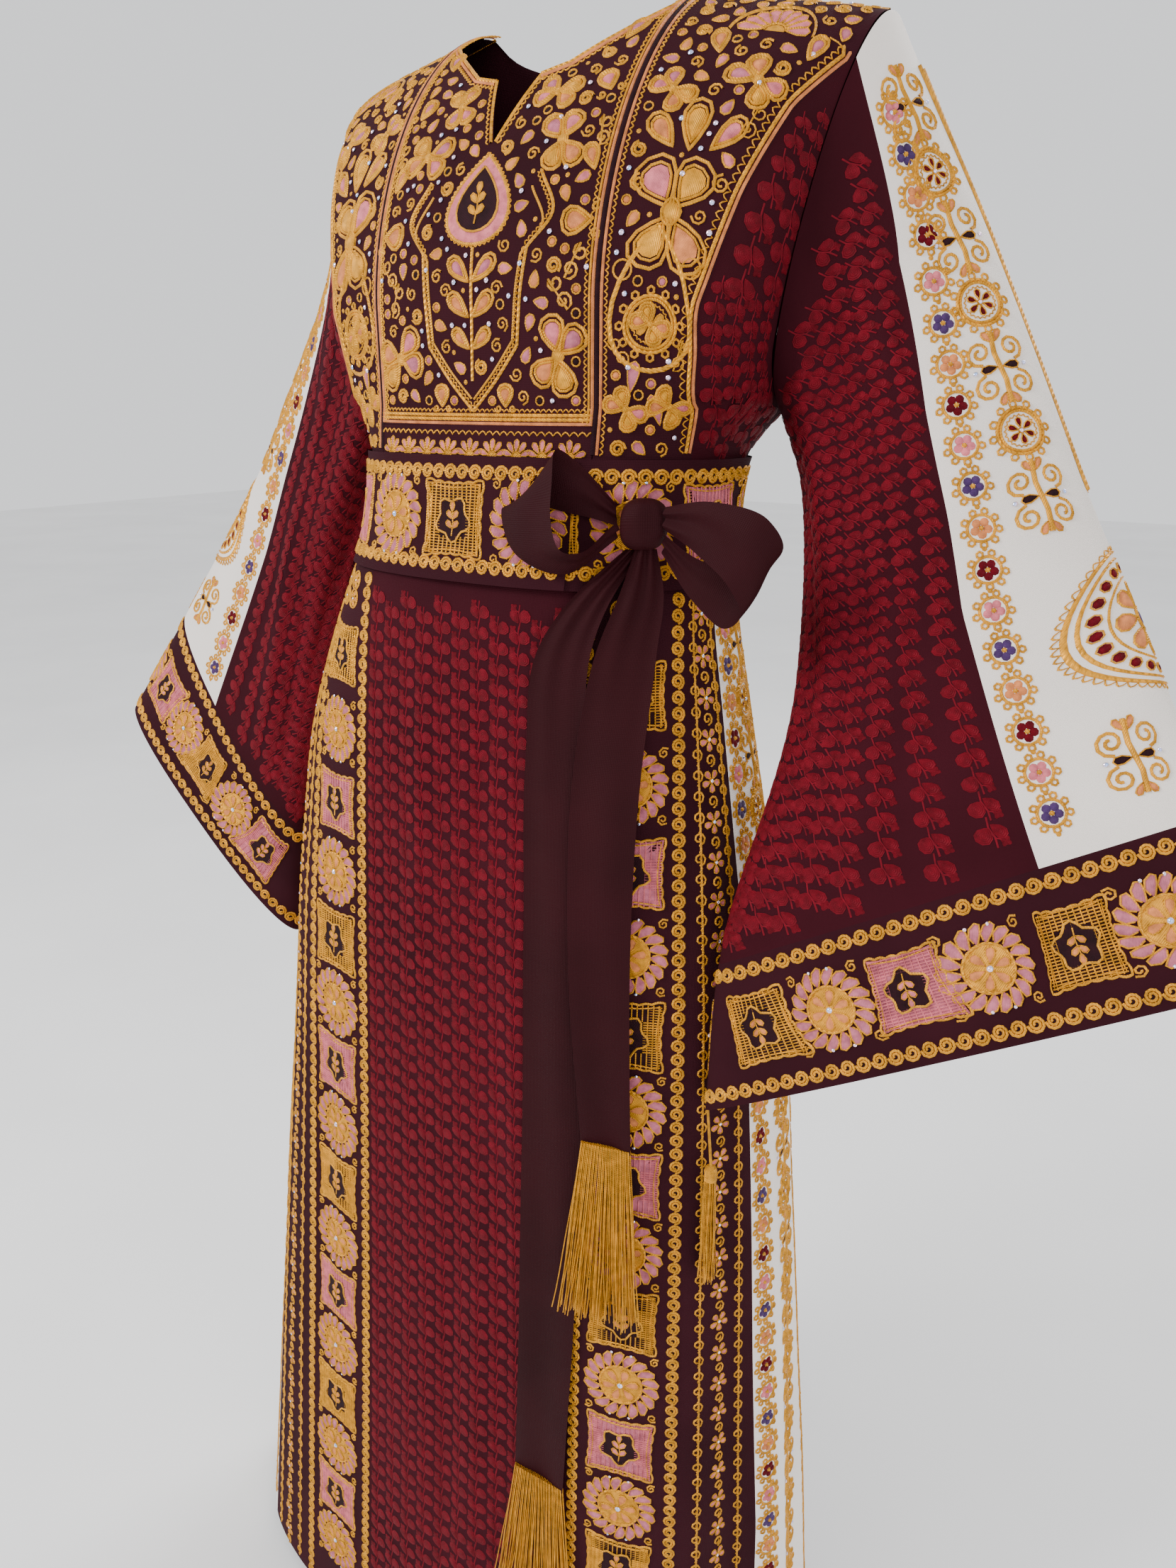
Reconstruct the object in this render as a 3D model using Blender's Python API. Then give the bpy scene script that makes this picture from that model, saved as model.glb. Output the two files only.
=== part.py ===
"""Long embroidered dress with wide bell sleeves, a wrapped belt and a ribbon bow.

Metres, +Z up, the front faces -Y, the wearer's left is +X.  The origin is at the
shoulders, midway between the two shoulder points and 18 mm above the neck points.
Every cut-and-sewn piece is a cloth wall on one shared worn form: the body is a
stack of closed sections, the yoke rolls from the top section over the shoulders,
and each sleeve is a row of flat ovals from the armhole to the cuff.
"""
import bpy
import bmesh
import numpy as np
from math import pi, sin, cos, acos, sqrt

# Sizes
WALL = 0.0016          # cloth wall
SEAM = 0.0003          # taken off each side of a seam, so pieces stand 0.6 mm apart
BELT_WALL = 0.0024
RIBBON_WALL = 0.0014

UNDERARM_Z = -0.285    # the yoke starts here
BUST_Z = -0.220        # the chest is upright below this height
WAIST_Z = -0.362       # bodice and skirt are joined here, under the belt
HEM_Z = -1.500
BELT_TOP_Z = -0.318
BELT_BOTTOM_Z = -0.404
CHEST_PANEL_BOTTOM_Z = -0.298
SHOULDER_Y = 0.052
SHOULDER_Z = -0.018
SHOULDER_SLOPE = 0.23
NECK_HALF_WIDTH = 0.096
SLIT_BOTTOM_Z = -0.118
FRONT_ROLL = 1.75      # powers of the roll over the shoulder
BACK_ROLL = 2.2
BACK_POWER = 2.05

# height, half width at +X, half width at -X, front, back, side y, front power
BODY = [
    (-0.285, 0.174, 0.174, 0.110, 0.080, 0.020, 2.6),
    (-0.315, 0.154, 0.151, 0.116, 0.077, 0.002, 2.7),
    (-0.340, 0.150, 0.146, 0.120, 0.076, -0.008, 2.7),
    (-0.365, 0.150, 0.146, 0.123, 0.075, -0.014, 2.7),
    (-0.420, 0.156, 0.166, 0.132, 0.076, -0.022, 2.8),
    (-0.500, 0.172, 0.202, 0.138, 0.080, -0.024, 2.9),
    (-0.650, 0.202, 0.237, 0.147, 0.088, -0.026, 3.0),
    (-0.900, 0.232, 0.280, 0.160, 0.100, -0.028, 3.0),
    (-1.200, 0.258, 0.325, 0.179, 0.114, -0.030, 3.0),
    (-1.500, 0.282, 0.365, 0.202, 0.128, -0.030, 3.0),
]

# height, then the distance from the centre front along the cloth, to the edge of
# the centre panel, the embroidered band, the plain side panel and the white panel
SKIRT_SEAMS = [
    (-0.300, 0.096, 0.165, 0.190, 0.250),
    (-0.420, 0.097, 0.172, 0.205, 0.270),
    (-0.700, 0.103, 0.190, 0.245, 0.350),
    (-1.200, 0.114, 0.212, 0.290, 0.430),
    (-1.500, 0.120, 0.222, 0.310, 0.475),
]

# skirt folds: side, place as a share of the half hem, width share, depth, start height
FOLDS = [
    (1, 0.075, 0.045, -0.0040, -0.60),
    (1, 0.020, 0.040, 0.0030, -0.75),
    (1, 0.395, 0.034, -0.0110, -0.50),
    (1, 0.465, 0.036, 0.0070, -0.45),
    (1, 0.545, 0.034, -0.0090, -0.62),
    (1, 0.630, 0.042, 0.0090, -0.50),
    (1, 0.720, 0.040, -0.0100, -0.48),
    (1, 0.800, 0.044, 0.0080, -0.55),
    (1, 0.890, 0.040, -0.0110, -0.45),
    (-1, 0.060, 0.050, 0.0030, -0.80),
    (-1, 0.410, 0.036, -0.0090, -0.55),
    (-1, 0.490, 0.040, 0.0080, -0.50),
    (-1, 0.580, 0.036, -0.0100, -0.46),
    (-1, 0.665, 0.040, 0.0070, -0.60),
    (-1, 0.750, 0.044, -0.0090, -0.50),
    (-1, 0.840, 0.038, 0.0090, -0.47),
    (-1, 0.920, 0.040, -0.0100, -0.58),
]

# sleeve sections: share of the length, outer fold x y z, inner line x y z,
# half thickness, power of the oval
SLEEVE_LEFT = [
    (0.00, 0.222, 0.052, -0.047, 0.174, 0.020, -0.285, 0.055, 2.2),
    (0.15, 0.270, 0.075, -0.140, 0.196, 0.015, -0.335, 0.050, 2.2),
    (0.40, 0.350, 0.060, -0.290, 0.222, -0.035, -0.470, 0.042, 2.2),
    (0.78, 0.487, -0.005, -0.520, 0.207, -0.108, -0.660, 0.032, 2.3),
    (1.00, 0.535, -0.050, -0.600, 0.210, -0.125, -0.770, 0.030, 2.4),
]
SLEEVE_RIGHT = [
    (0.00, 0.222, 0.052, -0.047, 0.174, 0.020, -0.285, 0.055, 2.2),
    (0.15, 0.270, 0.075, -0.140, 0.196, 0.015, -0.335, 0.050, 2.2),
    (0.40, 0.350, 0.055, -0.290, 0.235, -0.010, -0.470, 0.042, 2.2),
    (0.78, 0.462, -0.012, -0.492, 0.272, -0.055, -0.680, 0.032, 2.3),
    (1.00, 0.516, -0.050, -0.590, 0.282, -0.065, -0.785, 0.030, 2.4),
]
CUFF_START = 0.78

# share of the sleeve length, half angle of the white panel on the left and right
WHITE_EDGE = [
    (0.00, 0.80, 0.80),
    (0.15, 1.25, 1.25),
    (0.30, 1.40, 1.42),
    (0.50, 1.42, 1.50),
    (0.78, 1.27, 1.50),
    (1.00, 1.25, 1.50),
]

# half width, height of the front neckline, height of the back neckline
NECKLINE = [
    (0.000, -0.075, -0.052),
    (0.018, -0.074, -0.051),
    (0.038, -0.069, -0.048),
    (0.056, -0.057, -0.044),
    (0.075, -0.045, -0.037),
    (0.088, -0.036, -0.030),
    (0.096, -0.018, -0.018),
]
SLIT_HALF_WIDTH = 0.018

# share of the yoke height, outer edge of the shoulder band, edge of the back piece
BAND_EDGE = [
    (0.00, 0.165, 0.138),
    (0.25, 0.170, 0.140),
    (0.50, 0.190, 0.150),
    (0.70, 0.215, 0.165),
    (0.848, 1.000, 1.000),
]

# angles round the armhole, from the underarm to the shoulder point
ARM_ANGLES = [pi, 2.85, 2.55, 2.25, 1.95, 1.65, 1.35, 1.08, 0.80, 0.55, 0.28, 0.0]
WHITE_ROWS = 4         # the last angles, along the white panel
POINT_WIDTH = 0.0022   # a side piece narrows to this at its top, by the armhole

KNOT_S = 0.130         # place of the bow along the belt
KNOT_Z = -0.360
KNOT_HALF = (0.016, 0.0135, 0.017)
FRINGE_LENGTH = 0.160
TASSEL_LENGTH = 0.100

COLOURS = {
    "plum": (0.052, 0.012, 0.018),
    "red": (0.175, 0.010, 0.022),
    "white": (0.800, 0.720, 0.700),
    "gold": (0.640, 0.330, 0.075),
}


# Worn form of the body, yoke and sleeves
def smooth_table(rows, at, column):
    """A column of a table, read at a value of its first column on a smooth curve."""
    rows = sorted(rows)
    keys = [row[0] for row in rows]
    vals = [row[column] for row in rows]
    at = min(max(at, keys[0]), keys[-1])
    slopes = np.gradient(np.array(vals), np.array(keys))
    i = min(max(int(np.searchsorted(keys, at)) - 1, 0), len(keys) - 2)
    step = keys[i + 1] - keys[i]
    t = (at - keys[i]) / step
    return float(
        (2 * t**3 - 3 * t**2 + 1) * vals[i]
        + (t**3 - 2 * t**2 + t) * step * slopes[i]
        + (3 * t**2 - 2 * t**3) * vals[i + 1]
        + (t**3 - t**2) * step * slopes[i + 1]
    )


def straight_table(rows, at, column):
    rows = sorted(rows)
    return float(np.interp(at, [r[0] for r in rows], [r[column] for r in rows]))


def ease(t):
    t = min(max(t, 0.0), 1.0)
    return t * t * (3 - 2 * t)


SECTIONS = {}


def section(z):
    """Arc lengths, points and outward normals round the body at a height."""
    key = round(z, 5)
    if key not in SECTIONS:
        left, right, front, back, side_y, power = [smooth_table(BODY, z, c) for c in range(1, 7)]
        th = np.linspace(-pi, pi, 721)
        c, s = np.cos(th), np.sin(th)
        p = np.where(c >= 0, power, BACK_POWER)
        depth = np.where(c >= 0, front + side_y, back - side_y)
        half = np.where(th >= 0, left, right)
        x = half * np.sign(s) * np.abs(s) ** (2 / p)
        y = side_y - depth * np.sign(c) * np.abs(c) ** (2 / p)
        step = np.hypot(np.diff(x), np.diff(y))
        length = np.concatenate([[0.0], np.cumsum(step)])
        length -= np.interp(0.0, th, length)
        tx, ty = np.gradient(x, length), np.gradient(y, length)
        norm = np.hypot(tx, ty)
        SECTIONS[key] = (length, x, y, ty / norm, -tx / norm,
                         float(np.interp(pi / 2, th, length)),
                         float(-np.interp(-pi / 2, th, length)))
    return SECTIONS[key]


def half_round(z, side):
    """Length of cloth from the centre front to the centre back on one side."""
    length = section(z)[0]
    return float(length[-1]) if side > 0 else float(-length[0])


def side_seam(z, side):
    return section(z)[5] if side > 0 else section(z)[6]


def fold_depth(s, z):
    total = 0.0
    side = 1 if s >= 0 else -1
    share = abs(s) / half_round(z, side)
    for fold_side, place, width, depth, start in FOLDS:
        grow = ease((start - z) / (start - HEM_Z))
        if grow <= 0:
            continue
        if fold_side == side:
            gap = share - place
        else:
            gap = min(share + place, 2 - share - place)
        total += depth * grow * np.exp(-(gap / width) ** 2)
    return total


def body(s, z, out=0.0):
    """Point of the body at a cloth distance from the centre front and a height."""
    length, x, y, nx, ny = section(z)[:5]
    whole = length[-1] - length[0]
    if s > length[-1]:
        s -= whole
    if s < length[0]:
        s += whole
    out = out + fold_depth(s, z)
    return np.array([
        np.interp(s, length, x) + out * np.interp(s, length, nx),
        np.interp(s, length, y) + out * np.interp(s, length, ny),
        z,
    ])


def sleeve(side, angle, share):
    """Point of a sleeve: angle 0 is the outer fold, pi the inner line, + is front."""
    rows = SLEEVE_LEFT if side > 0 else SLEEVE_RIGHT
    share = min(max(share, 0.0), 1.0)

    def ends(u):
        v = [smooth_table(rows, u, c) for c in range(1, 7)]
        return np.array(v[:3]), np.array(v[3:])

    outer, inner = ends(share)
    thick = smooth_table(rows, share, 7)
    power = smooth_table(rows, share, 8)
    before, after = ends(max(share - 0.02, 0.0)), ends(min(share + 0.02, 1.0))
    along = (after[0] + after[1]) - (before[0] + before[1])
    half = (outer - inner) / 2
    facing = np.cross(half, along)
    facing /= np.linalg.norm(facing)
    if facing[1] > 0:
        facing = -facing
    mix = min(1.0, share / 0.3)
    facing = facing * mix + np.array([0.0, -1.0, 0.0]) * (1 - mix)
    facing /= np.linalg.norm(facing)
    c, s = cos(angle), sin(angle)
    if abs(s) < 1e-9:
        s = 0.0
    point = (outer + inner) / 2 + half * np.sign(c) * abs(c) ** (2 / power)
    point = point + facing * thick * np.sign(s) * abs(s) ** (2 / power)
    point[0] *= side
    return point


ARM_S = side_seam(UNDERARM_Z, 1)
ARM_S_BACK = half_round(UNDERARM_Z, 1) - side_seam(UNDERARM_Z, 1)


def arm_s(face):
    return ARM_S if face < 0 else ARM_S_BACK


def yoke(s, share, face):
    """Point of the yoke: face -1 is the front, +1 the back; share runs from the
    underarm height to the shoulder line; s is measured from the centre."""
    side = 1 if s >= 0 else -1

    def plain(at):
        if face < 0:
            base = body(at, UNDERARM_Z)
        else:
            base = body(side * (half_round(UNDERARM_Z, side) - abs(at)), UNDERARM_Z)
        reach = arm_s(face)
        top_x = side * np.interp(abs(at), [0, 0.10, 0.10 + 0.5 * (reach - 0.10), reach],
                                 [0, 0.102, 0.168, 0.222])
        top_z = SHOULDER_Z - SHOULDER_SLOPE * max(abs(top_x) - 0.095, 0.0)
        lift = 2 / pi * np.arcsin(min(share, 1.0))
        z = UNDERARM_Z + (top_z - UNDERARM_Z) * share
        t = min(max((z - BUST_Z) / (top_z - BUST_Z), 0.0), 1.0)
        power = FRONT_ROLL if face < 0 else BACK_ROLL
        roll = (1 - t**power) ** (1 / power)
        x = base[0] + (top_x - base[0]) * lift**1.3
        return np.array([x, SHOULDER_Y + (base[1] - SHOULDER_Y) * roll, z])

    edge = arm_edge(share, side, face)
    pull = ease((abs(s) - 0.10) / (arm_s(face) - 0.10))
    return plain(s) + (edge - plain(side * arm_s(face))) * pull


def arm_edge(share, side, face):
    angle = acos(min(max(2 * share - 1, -1.0), 1.0))
    return sleeve(side, -face * angle, 0.0)


def yoke_share(angle):
    return (1 + cos(angle)) / 2


def share_at(s, z, face):
    """Share of the yoke height at which the cloth at s reaches a height."""
    shares = np.linspace(0, 1, 401)
    heights = [yoke(s, f, face)[2] for f in shares]
    return float(np.interp(z, heights, shares))


def torso(s, h, face):
    """One height scale for the bodice: -1 waist seam, 0 underarm, 1 shoulder."""
    if h >= 0:
        return yoke(s, h, face)
    z = UNDERARM_Z + h * (UNDERARM_Z - WAIST_Z)
    if face < 0:
        return body(s, z)
    side = 1 if s >= 0 else -1
    return body(side * (half_round(z, side) - abs(s)), z)


def torso_h(z):
    return (z - UNDERARM_Z) / (UNDERARM_Z - WAIST_Z)


# Mesh tools
def material(name, colour, roughness):
    mat = bpy.data.materials.new(name)
    mat.use_nodes = True
    shader = mat.node_tree.nodes["Principled BSDF"]
    shader.inputs["Base Color"].default_value = (*colour, 1.0)
    shader.inputs["Roughness"].default_value = roughness
    shader.inputs["Metallic"].default_value = 0.0
    return mat


def make_object(name, verts, faces, colour, roughness=0.75):
    mesh = bpy.data.meshes.new(name)
    mesh.from_pydata([tuple(float(c) for c in v) for v in verts], [], faces)
    bm = bmesh.new()
    bm.from_mesh(mesh)
    bmesh.ops.remove_doubles(bm, verts=bm.verts, dist=1e-7)
    bmesh.ops.recalc_face_normals(bm, faces=bm.faces)
    bm.to_mesh(mesh)
    bm.free()
    for polygon in mesh.polygons:
        polygon.use_smooth = True
    obj = bpy.data.objects.new(name, mesh)
    obj.data.materials.append(material(name + "_cloth", COLOURS[colour], roughness))
    bpy.context.scene.collection.objects.link(obj)
    return obj


def wall_mesh(points, normals, thickness, closed=False):
    """A cloth wall round a grid of middle points: two skins and a rim.

    Both skins are cut along the same diagonals, so a twisted wall keeps its thickness.
    """
    rows, cols = points.shape[:2]
    count = rows * cols
    outer = (points + normals * thickness / 2).reshape(-1, 3)
    inner = (points - normals * thickness / 2).reshape(-1, 3)
    verts = list(outer) + list(inner)
    faces = []
    span = cols if closed else cols - 1
    for r in range(rows - 1):
        for c in range(span):
            d = (c + 1) % cols
            quad = (r * cols + c, r * cols + d, (r + 1) * cols + d, (r + 1) * cols + c)
            for part in (quad[:3], (quad[0], quad[2], quad[3])):
                faces.append(part)
                faces.append(tuple(i + count for i in reversed(part)))
    for r in (0, rows - 1):
        for c in range(span):
            d = (c + 1) % cols
            a, b = r * cols + c, r * cols + d
            quad = (b, a, a + count, b + count)
            faces.append(quad if r == 0 else tuple(reversed(quad)))
    if not closed:
        for c in (0, cols - 1):
            for r in range(rows - 1):
                a, b = r * cols + c, (r + 1) * cols + c
                quad = (a, b, b + count, a + count)
                faces.append(quad if c == 0 else tuple(reversed(quad)))
    return verts, faces


def surface_normal(surface, a, b, inside):
    """Unit normal of surface(a, b), turned away from an inside point."""
    e = 0.0012
    da = surface(a + e, b) - surface(a - e, b)
    db = surface(a, b + e) - surface(a, b - e)
    n = np.cross(da, db)
    size = np.linalg.norm(n)
    n = n / size if size > 0 else np.array([0.0, 0.0, 1.0])
    if np.dot(n, surface(a, b) - inside) < 0:
        n = -n
    return n


def trim(first, last, gap):
    """Ends of a run of cloth with a seam gap taken off both."""
    return first + gap, last - gap


# Bodice
def torso_point(s, h, face):
    point = torso(s, h, face)
    if h > 0.9999:
        side = 1 if s >= 0 else -1
        slope = SHOULDER_SLOPE if abs(point[0]) > 0.095 else 0.0
        normal = np.array([side * slope, 0.0, 1.0])
        point = point + np.array([0.0, face * SEAM, 0.0])
        return point, normal / np.linalg.norm(normal)

    def surface(a, b):
        return torso(a, min(b, 0.9999), face)

    inside = np.array([0.8 * point[0], 0.02, min(point[2], -0.12)])
    at = -0.002 if abs(h) < 0.01 else h
    return point, surface_normal(surface, s, at, inside)


def torso_piece(name, columns, colour, face):
    """Bodice piece from columns of (s, h) pairs, bottom to top."""
    pairs = [[torso_point(s, h, face) for s, h in column] for column in columns]
    points = np.array([[pair[0] for pair in column] for column in pairs])
    normals = np.array([[pair[1] for pair in column] for column in pairs])
    verts, faces = wall_mesh(points, normals, WALL)
    return make_object(name, verts, faces, colour)


LOW_ROWS = [-1.0, -0.714, -0.45, -0.30, -0.14]
ARM_ROWS = [yoke_share(a) for a in ARM_ANGLES]


def band_edge(h, face):
    reach = arm_s(face)
    if h >= BAND_EDGE[-1][0]:
        return reach
    column = 1 if face < 0 else 2
    rows = [(row[0], min(row[column], reach)) for row in BAND_EDGE]
    return straight_table(rows, max(h, 0.0), 1)


def neck_height(s, face):
    z = straight_table(NECKLINE, abs(s), 1 if face < 0 else 2)
    if face < 0 and abs(s) < SLIT_HALF_WIDTH:
        z = SLIT_BOTTOM_Z + (z - SLIT_BOTTOM_Z) * abs(s) / SLIT_HALF_WIDTH
    return z


def seam_h(surface_gap):
    return surface_gap / (UNDERARM_Z - WAIST_Z)


def build_bodice():
    edge = NECK_HALF_WIDTH - 2 * SEAM
    half = [0.0, 0.009, 0.018, 0.038, 0.056, 0.075, 0.088, edge]
    spots = [-s for s in reversed(half[1:])] + half
    low = torso_h(CHEST_PANEL_BOTTOM_Z)
    rows = 11
    chest = []
    for s in spots:
        top = share_at(s, neck_height(s, -1), -1) if abs(s) < edge else 0.985
        bottom = low + seam_h(SEAM)
        chest.append([(s, bottom + (top - bottom) * r / rows) for r in range(rows + 1)])
    torso_piece("chest_panel", chest, "plum", -1)

    strip = []
    for s in np.linspace(-edge, edge, 9):
        strip.append([(s, h) for h in np.linspace(-1.0, low - seam_h(SEAM), 4)])
    torso_piece("waist_strip", strip, "plum", -1)

    heights = LOW_ROWS + ARM_ROWS
    for side, word in ((1, "left"), (-1, "right")):
        band = []
        for k in np.linspace(0, 1, 6):
            column = []
            for h in heights:
                a, b = trim(NECK_HALF_WIDTH, band_reach(h, -1, ARM_S), SEAM)
                column.append((side * (a + (b - a) * k), h))
            band.append(column)
        torso_piece("shoulder_band_" + word, band, "plum", -1)
        for face, place in ((-1, "front"), (1, "back")):
            torso_piece("side_%s_%s" % (place, word), side_columns(heights, side, face), "red", face)

    back = []
    for side, k in [(-1, k) for k in BACK_COLUMNS[:0:-1]] + [(1, k) for k in BACK_COLUMNS]:
        column = []
        for h in heights:
            reach = band_reach(h, 1, ARM_S_BACK) - SEAM
            share = max(k - 1.0, 0.0)
            s = NECK_HALF_WIDTH * min(k, 1.0) + (reach - NECK_HALF_WIDTH) * share
            column.append((side * s, h))
        if k < 1.0:
            s = NECK_HALF_WIDTH * k
            top = share_at(side * s, neck_height(s, 1), 1)
            column = [(side * s, h if h < 0 else h * top) for h in heights]
        back.append(column)
    torso_piece("back_bodice", back, "plum", 1)


BACK_COLUMNS = [0.0, 0.4, 0.75, 1.0, 1.35, 1.7, 2.0]


def band_reach(h, face, arm):
    """Outer edge of the band or back piece, kept off the sleeve and the side piece."""
    reach = band_edge(h, face)
    if h == ARM_ROWS[-WHITE_ROWS]:
        return arm - POINT_WIDTH
    return reach - 0.0004 if reach >= arm else reach


def side_columns(heights, side, face):
    """Columns of a red side piece, from the band's edge to side seam or armhole."""
    columns = []
    for k in np.linspace(0, 1, 5):
        column = []
        for h in heights[:len(heights) - WHITE_ROWS + 1]:
            if h >= 0:
                end = arm_s(face)
            else:
                z = UNDERARM_Z + h * (UNDERARM_Z - WAIST_Z)
                whole = half_round(z, side)
                end = side_seam(z, side) if face < 0 else whole - side_seam(z, side)
            a, b = trim(min(band_edge(h, face), end - POINT_WIDTH), end, SEAM)
            column.append((side * (a + (b - a) * k), h))
        columns.append(column)
    return columns


# Sleeves and cuffs
SLEEVE_SHARES = [0.0, 0.07, 0.15, 0.25, 0.36, 0.47, 0.58, 0.69, CUFF_START - 0.0006]
CUFF_SHARES = [CUFF_START + 0.0006, 0.89, 1.0]


def white_edge(share, side):
    return straight_table(WHITE_EDGE, share, 1 if side > 0 else 2)


def sleeve_angle(base, share, side):
    """Angle at a share of the length for an angle given at the armhole."""
    start = WHITE_EDGE[0][1]
    edge = white_edge(share, side)
    size = abs(base)
    if size <= start:
        size = size * edge / start
    else:
        size = pi - (pi - size) * (pi - edge) / (pi - start)
    return size if base >= 0 else -size


def sleeve_surface(side):
    def surface(base, share):
        point = sleeve(side, sleeve_angle(base, share, side), share)
        clear = 0.0011 + 0.0020 * ((1 - cos(base)) / 2) ** 2
        point[0] += side * clear * max(0.0, 1 - share / 0.10)
        return point
    return surface


def sleeve_centre(side, share):
    return (sleeve(side, 0.0, share) + sleeve(side, pi, share)) / 2


def sleeve_piece(name, bases, shares, side, colour, closed=False):
    surface = sleeve_surface(side)
    points, normals = [], []
    for i, base in enumerate(bases):
        row_p, row_n = [], []
        for share in shares:
            at = base
            if not closed and i in (0, len(bases) - 1):
                turn = 0.002 if i == 0 else -0.002
                turn *= 1 if bases[-1] > bases[0] else -1
                step = np.linalg.norm(surface(base + turn, share) - surface(base, share))
                at = base + turn * SEAM / step
            lo = max(share, 0.0015)
            hi = min(lo, 0.9985)
            row_p.append(surface(at, share))
            row_n.append(surface_normal(surface, at, hi, sleeve_centre(side, hi)))
        points.append(row_p)
        normals.append(row_n)
    points, normals = np.array(points), np.array(normals)
    if closed:
        points, normals = points.transpose(1, 0, 2), normals.transpose(1, 0, 2)
    verts, faces = wall_mesh(points, normals, WALL, closed)
    return make_object(name, verts, faces, colour)


def build_sleeve(side, word):
    gusset = ARM_ANGLES[:len(ARM_ANGLES) - WHITE_ROWS + 1]
    white = ARM_ANGLES[len(ARM_ANGLES) - WHITE_ROWS:]
    top = white + [-a for a in reversed(white[:-1])]
    sleeve_piece("sleeve_front_" + word, gusset, SLEEVE_SHARES, side, "red")
    sleeve_piece("sleeve_top_" + word, top, SLEEVE_SHARES, side, "white")
    back = [-a for a in gusset]
    sleeve_piece("sleeve_back_" + word, back, SLEEVE_SHARES, side, "red")
    ring = gusset + top[1:] + list(reversed(back))[1:-1]
    sleeve_piece("cuff_" + word, ring, CUFF_SHARES, side, "plum", closed=True)


# Skirt
SKIRT_ROWS = [WAIST_Z - 2 * SEAM, -0.3815, -0.404, -0.440, -0.500, -0.570, -0.660, -0.770,
              -0.890, -1.010, -1.130, -1.255, -1.380, HEM_Z]


def seam_s(z, column, side):
    return side * straight_table(SKIRT_SEAMS, z, column)


def skirt_point(s, z, out=0.0):
    point = body(s, z, out)
    e = 0.0012
    da = body(s + e, z, out) - body(s - e, z, out)
    db = body(s, z + e, out) - body(s, z - e, out)
    n = np.cross(da, db)
    n /= np.linalg.norm(n)
    if np.dot(n[:2], point[:2] - np.array([0.0, -0.02])) < 0:
        n = -n
    return point, n


def skirt_piece(name, first, last, columns, colour):
    """Skirt panel between two seams, each a function of height."""
    points, normals = [], []
    for k in np.linspace(0, 1, columns + 1):
        pairs = []
        for z in SKIRT_ROWS:
            a, b = trim(first(z), last(z), SEAM)
            pairs.append(skirt_point(a + (b - a) * k, z))
        points.append([p for p, n in pairs])
        normals.append([n for p, n in pairs])
    verts, faces = wall_mesh(np.array(points), np.array(normals), WALL)
    return make_object(name, verts, faces, colour)


def build_skirt():
    def seam(column, side):
        return lambda z: seam_s(z, column, side)

    skirt_piece("skirt_centre", seam(1, -1), seam(1, 1), 10, "red")
    for side, word in ((1, "left"), (-1, "right")):
        for name, a, b, columns, colour in (
            ("skirt_band_", 1, 2, 5, "plum"),
            ("skirt_side_", 2, 3, 5, "plum"),
            ("skirt_white_", 3, 4, 8, "white"),
        ):
            ends = (seam(a, side), seam(b, side))
            if side < 0:
                ends = ends[::-1]
            skirt_piece(name + word, ends[0], ends[1], columns, colour)

    def back_end(z):
        length = section(z)[0]
        return float(length[-1] - length[0]) + seam_s(z, 4, -1)

    skirt_piece("skirt_back", seam(4, 1), back_end, 20, "plum")


# Belt, bow and tassel
BELT_UNDER_S = 0.035   # the under end starts here, left of the centre front
BELT_OVER_S = 0.086    # the upper end stops here, over it
BELT_ROWS = (BELT_BOTTOM_Z, -0.3815, WAIST_Z, -0.340, BELT_TOP_Z)
BELT_CLEAR = WALL / 2 + 0.0010 + BELT_WALL / 2
BELT_STEP = BELT_WALL + 0.0007


def build_belt():
    count = 64
    points, normals = [], []
    for i in range(count + 1):
        col_p, col_n = [], []
        for z in BELT_ROWS:
            length = section(z)[0]
            whole = float(length[-1] - length[0])
            run = whole + BELT_OVER_S - BELT_UNDER_S
            s = BELT_UNDER_S + run * i / count
            lift = ease((s - (whole - 0.075)) / 0.085)
            point, normal = skirt_point(s, z)
            col_p.append(point + normal * (BELT_CLEAR + BELT_STEP * lift))
            col_n.append(normal)
        points.append(col_p)
        normals.append(col_n)
    verts, faces = wall_mesh(np.array(points), np.array(normals), BELT_WALL)
    make_object("belt", verts, faces, "plum")


def knot_frame():
    """Middle of the knot, 0.5 mm off the belt, and its outward direction."""
    point, out = skirt_point(KNOT_S, KNOT_Z)
    off = BELT_CLEAR + BELT_WALL / 2 + 0.0005 + KNOT_HALF[1]
    return point + out * off, out


def build_knot():
    verts, faces = [], []
    rings, around = 7, 14
    middle, out = knot_frame()
    across = np.array([-out[1], out[0], 0.0])
    across /= np.linalg.norm(across)
    up = np.array([0.0, 0.0, 1.0])
    half = KNOT_HALF
    for r in range(1, rings):
        phi = -pi / 2 + pi * r / rings
        for a in range(around):
            th = 2 * pi * a / around
            ring = abs(cos(phi)) ** 0.8
            x = half[0] * ring * np.sign(cos(th)) * abs(cos(th)) ** 0.85
            y = half[1] * ring * np.sign(sin(th)) * abs(sin(th)) ** 0.85
            z = half[2] * np.sign(sin(phi)) * abs(sin(phi)) ** 0.8
            verts.append(middle + across * x + out * y + up * z)
    for r in range(rings - 2):
        for a in range(around):
            b = (a + 1) % around
            faces.append((r * around + a, r * around + b,
                          (r + 1) * around + b, (r + 1) * around + a))
    faces.append(tuple(reversed(range(around))))
    faces.append(tuple(range((rings - 2) * around, (rings - 1) * around)))
    make_object("bow_knot", verts, faces, "plum", 0.55)


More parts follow.
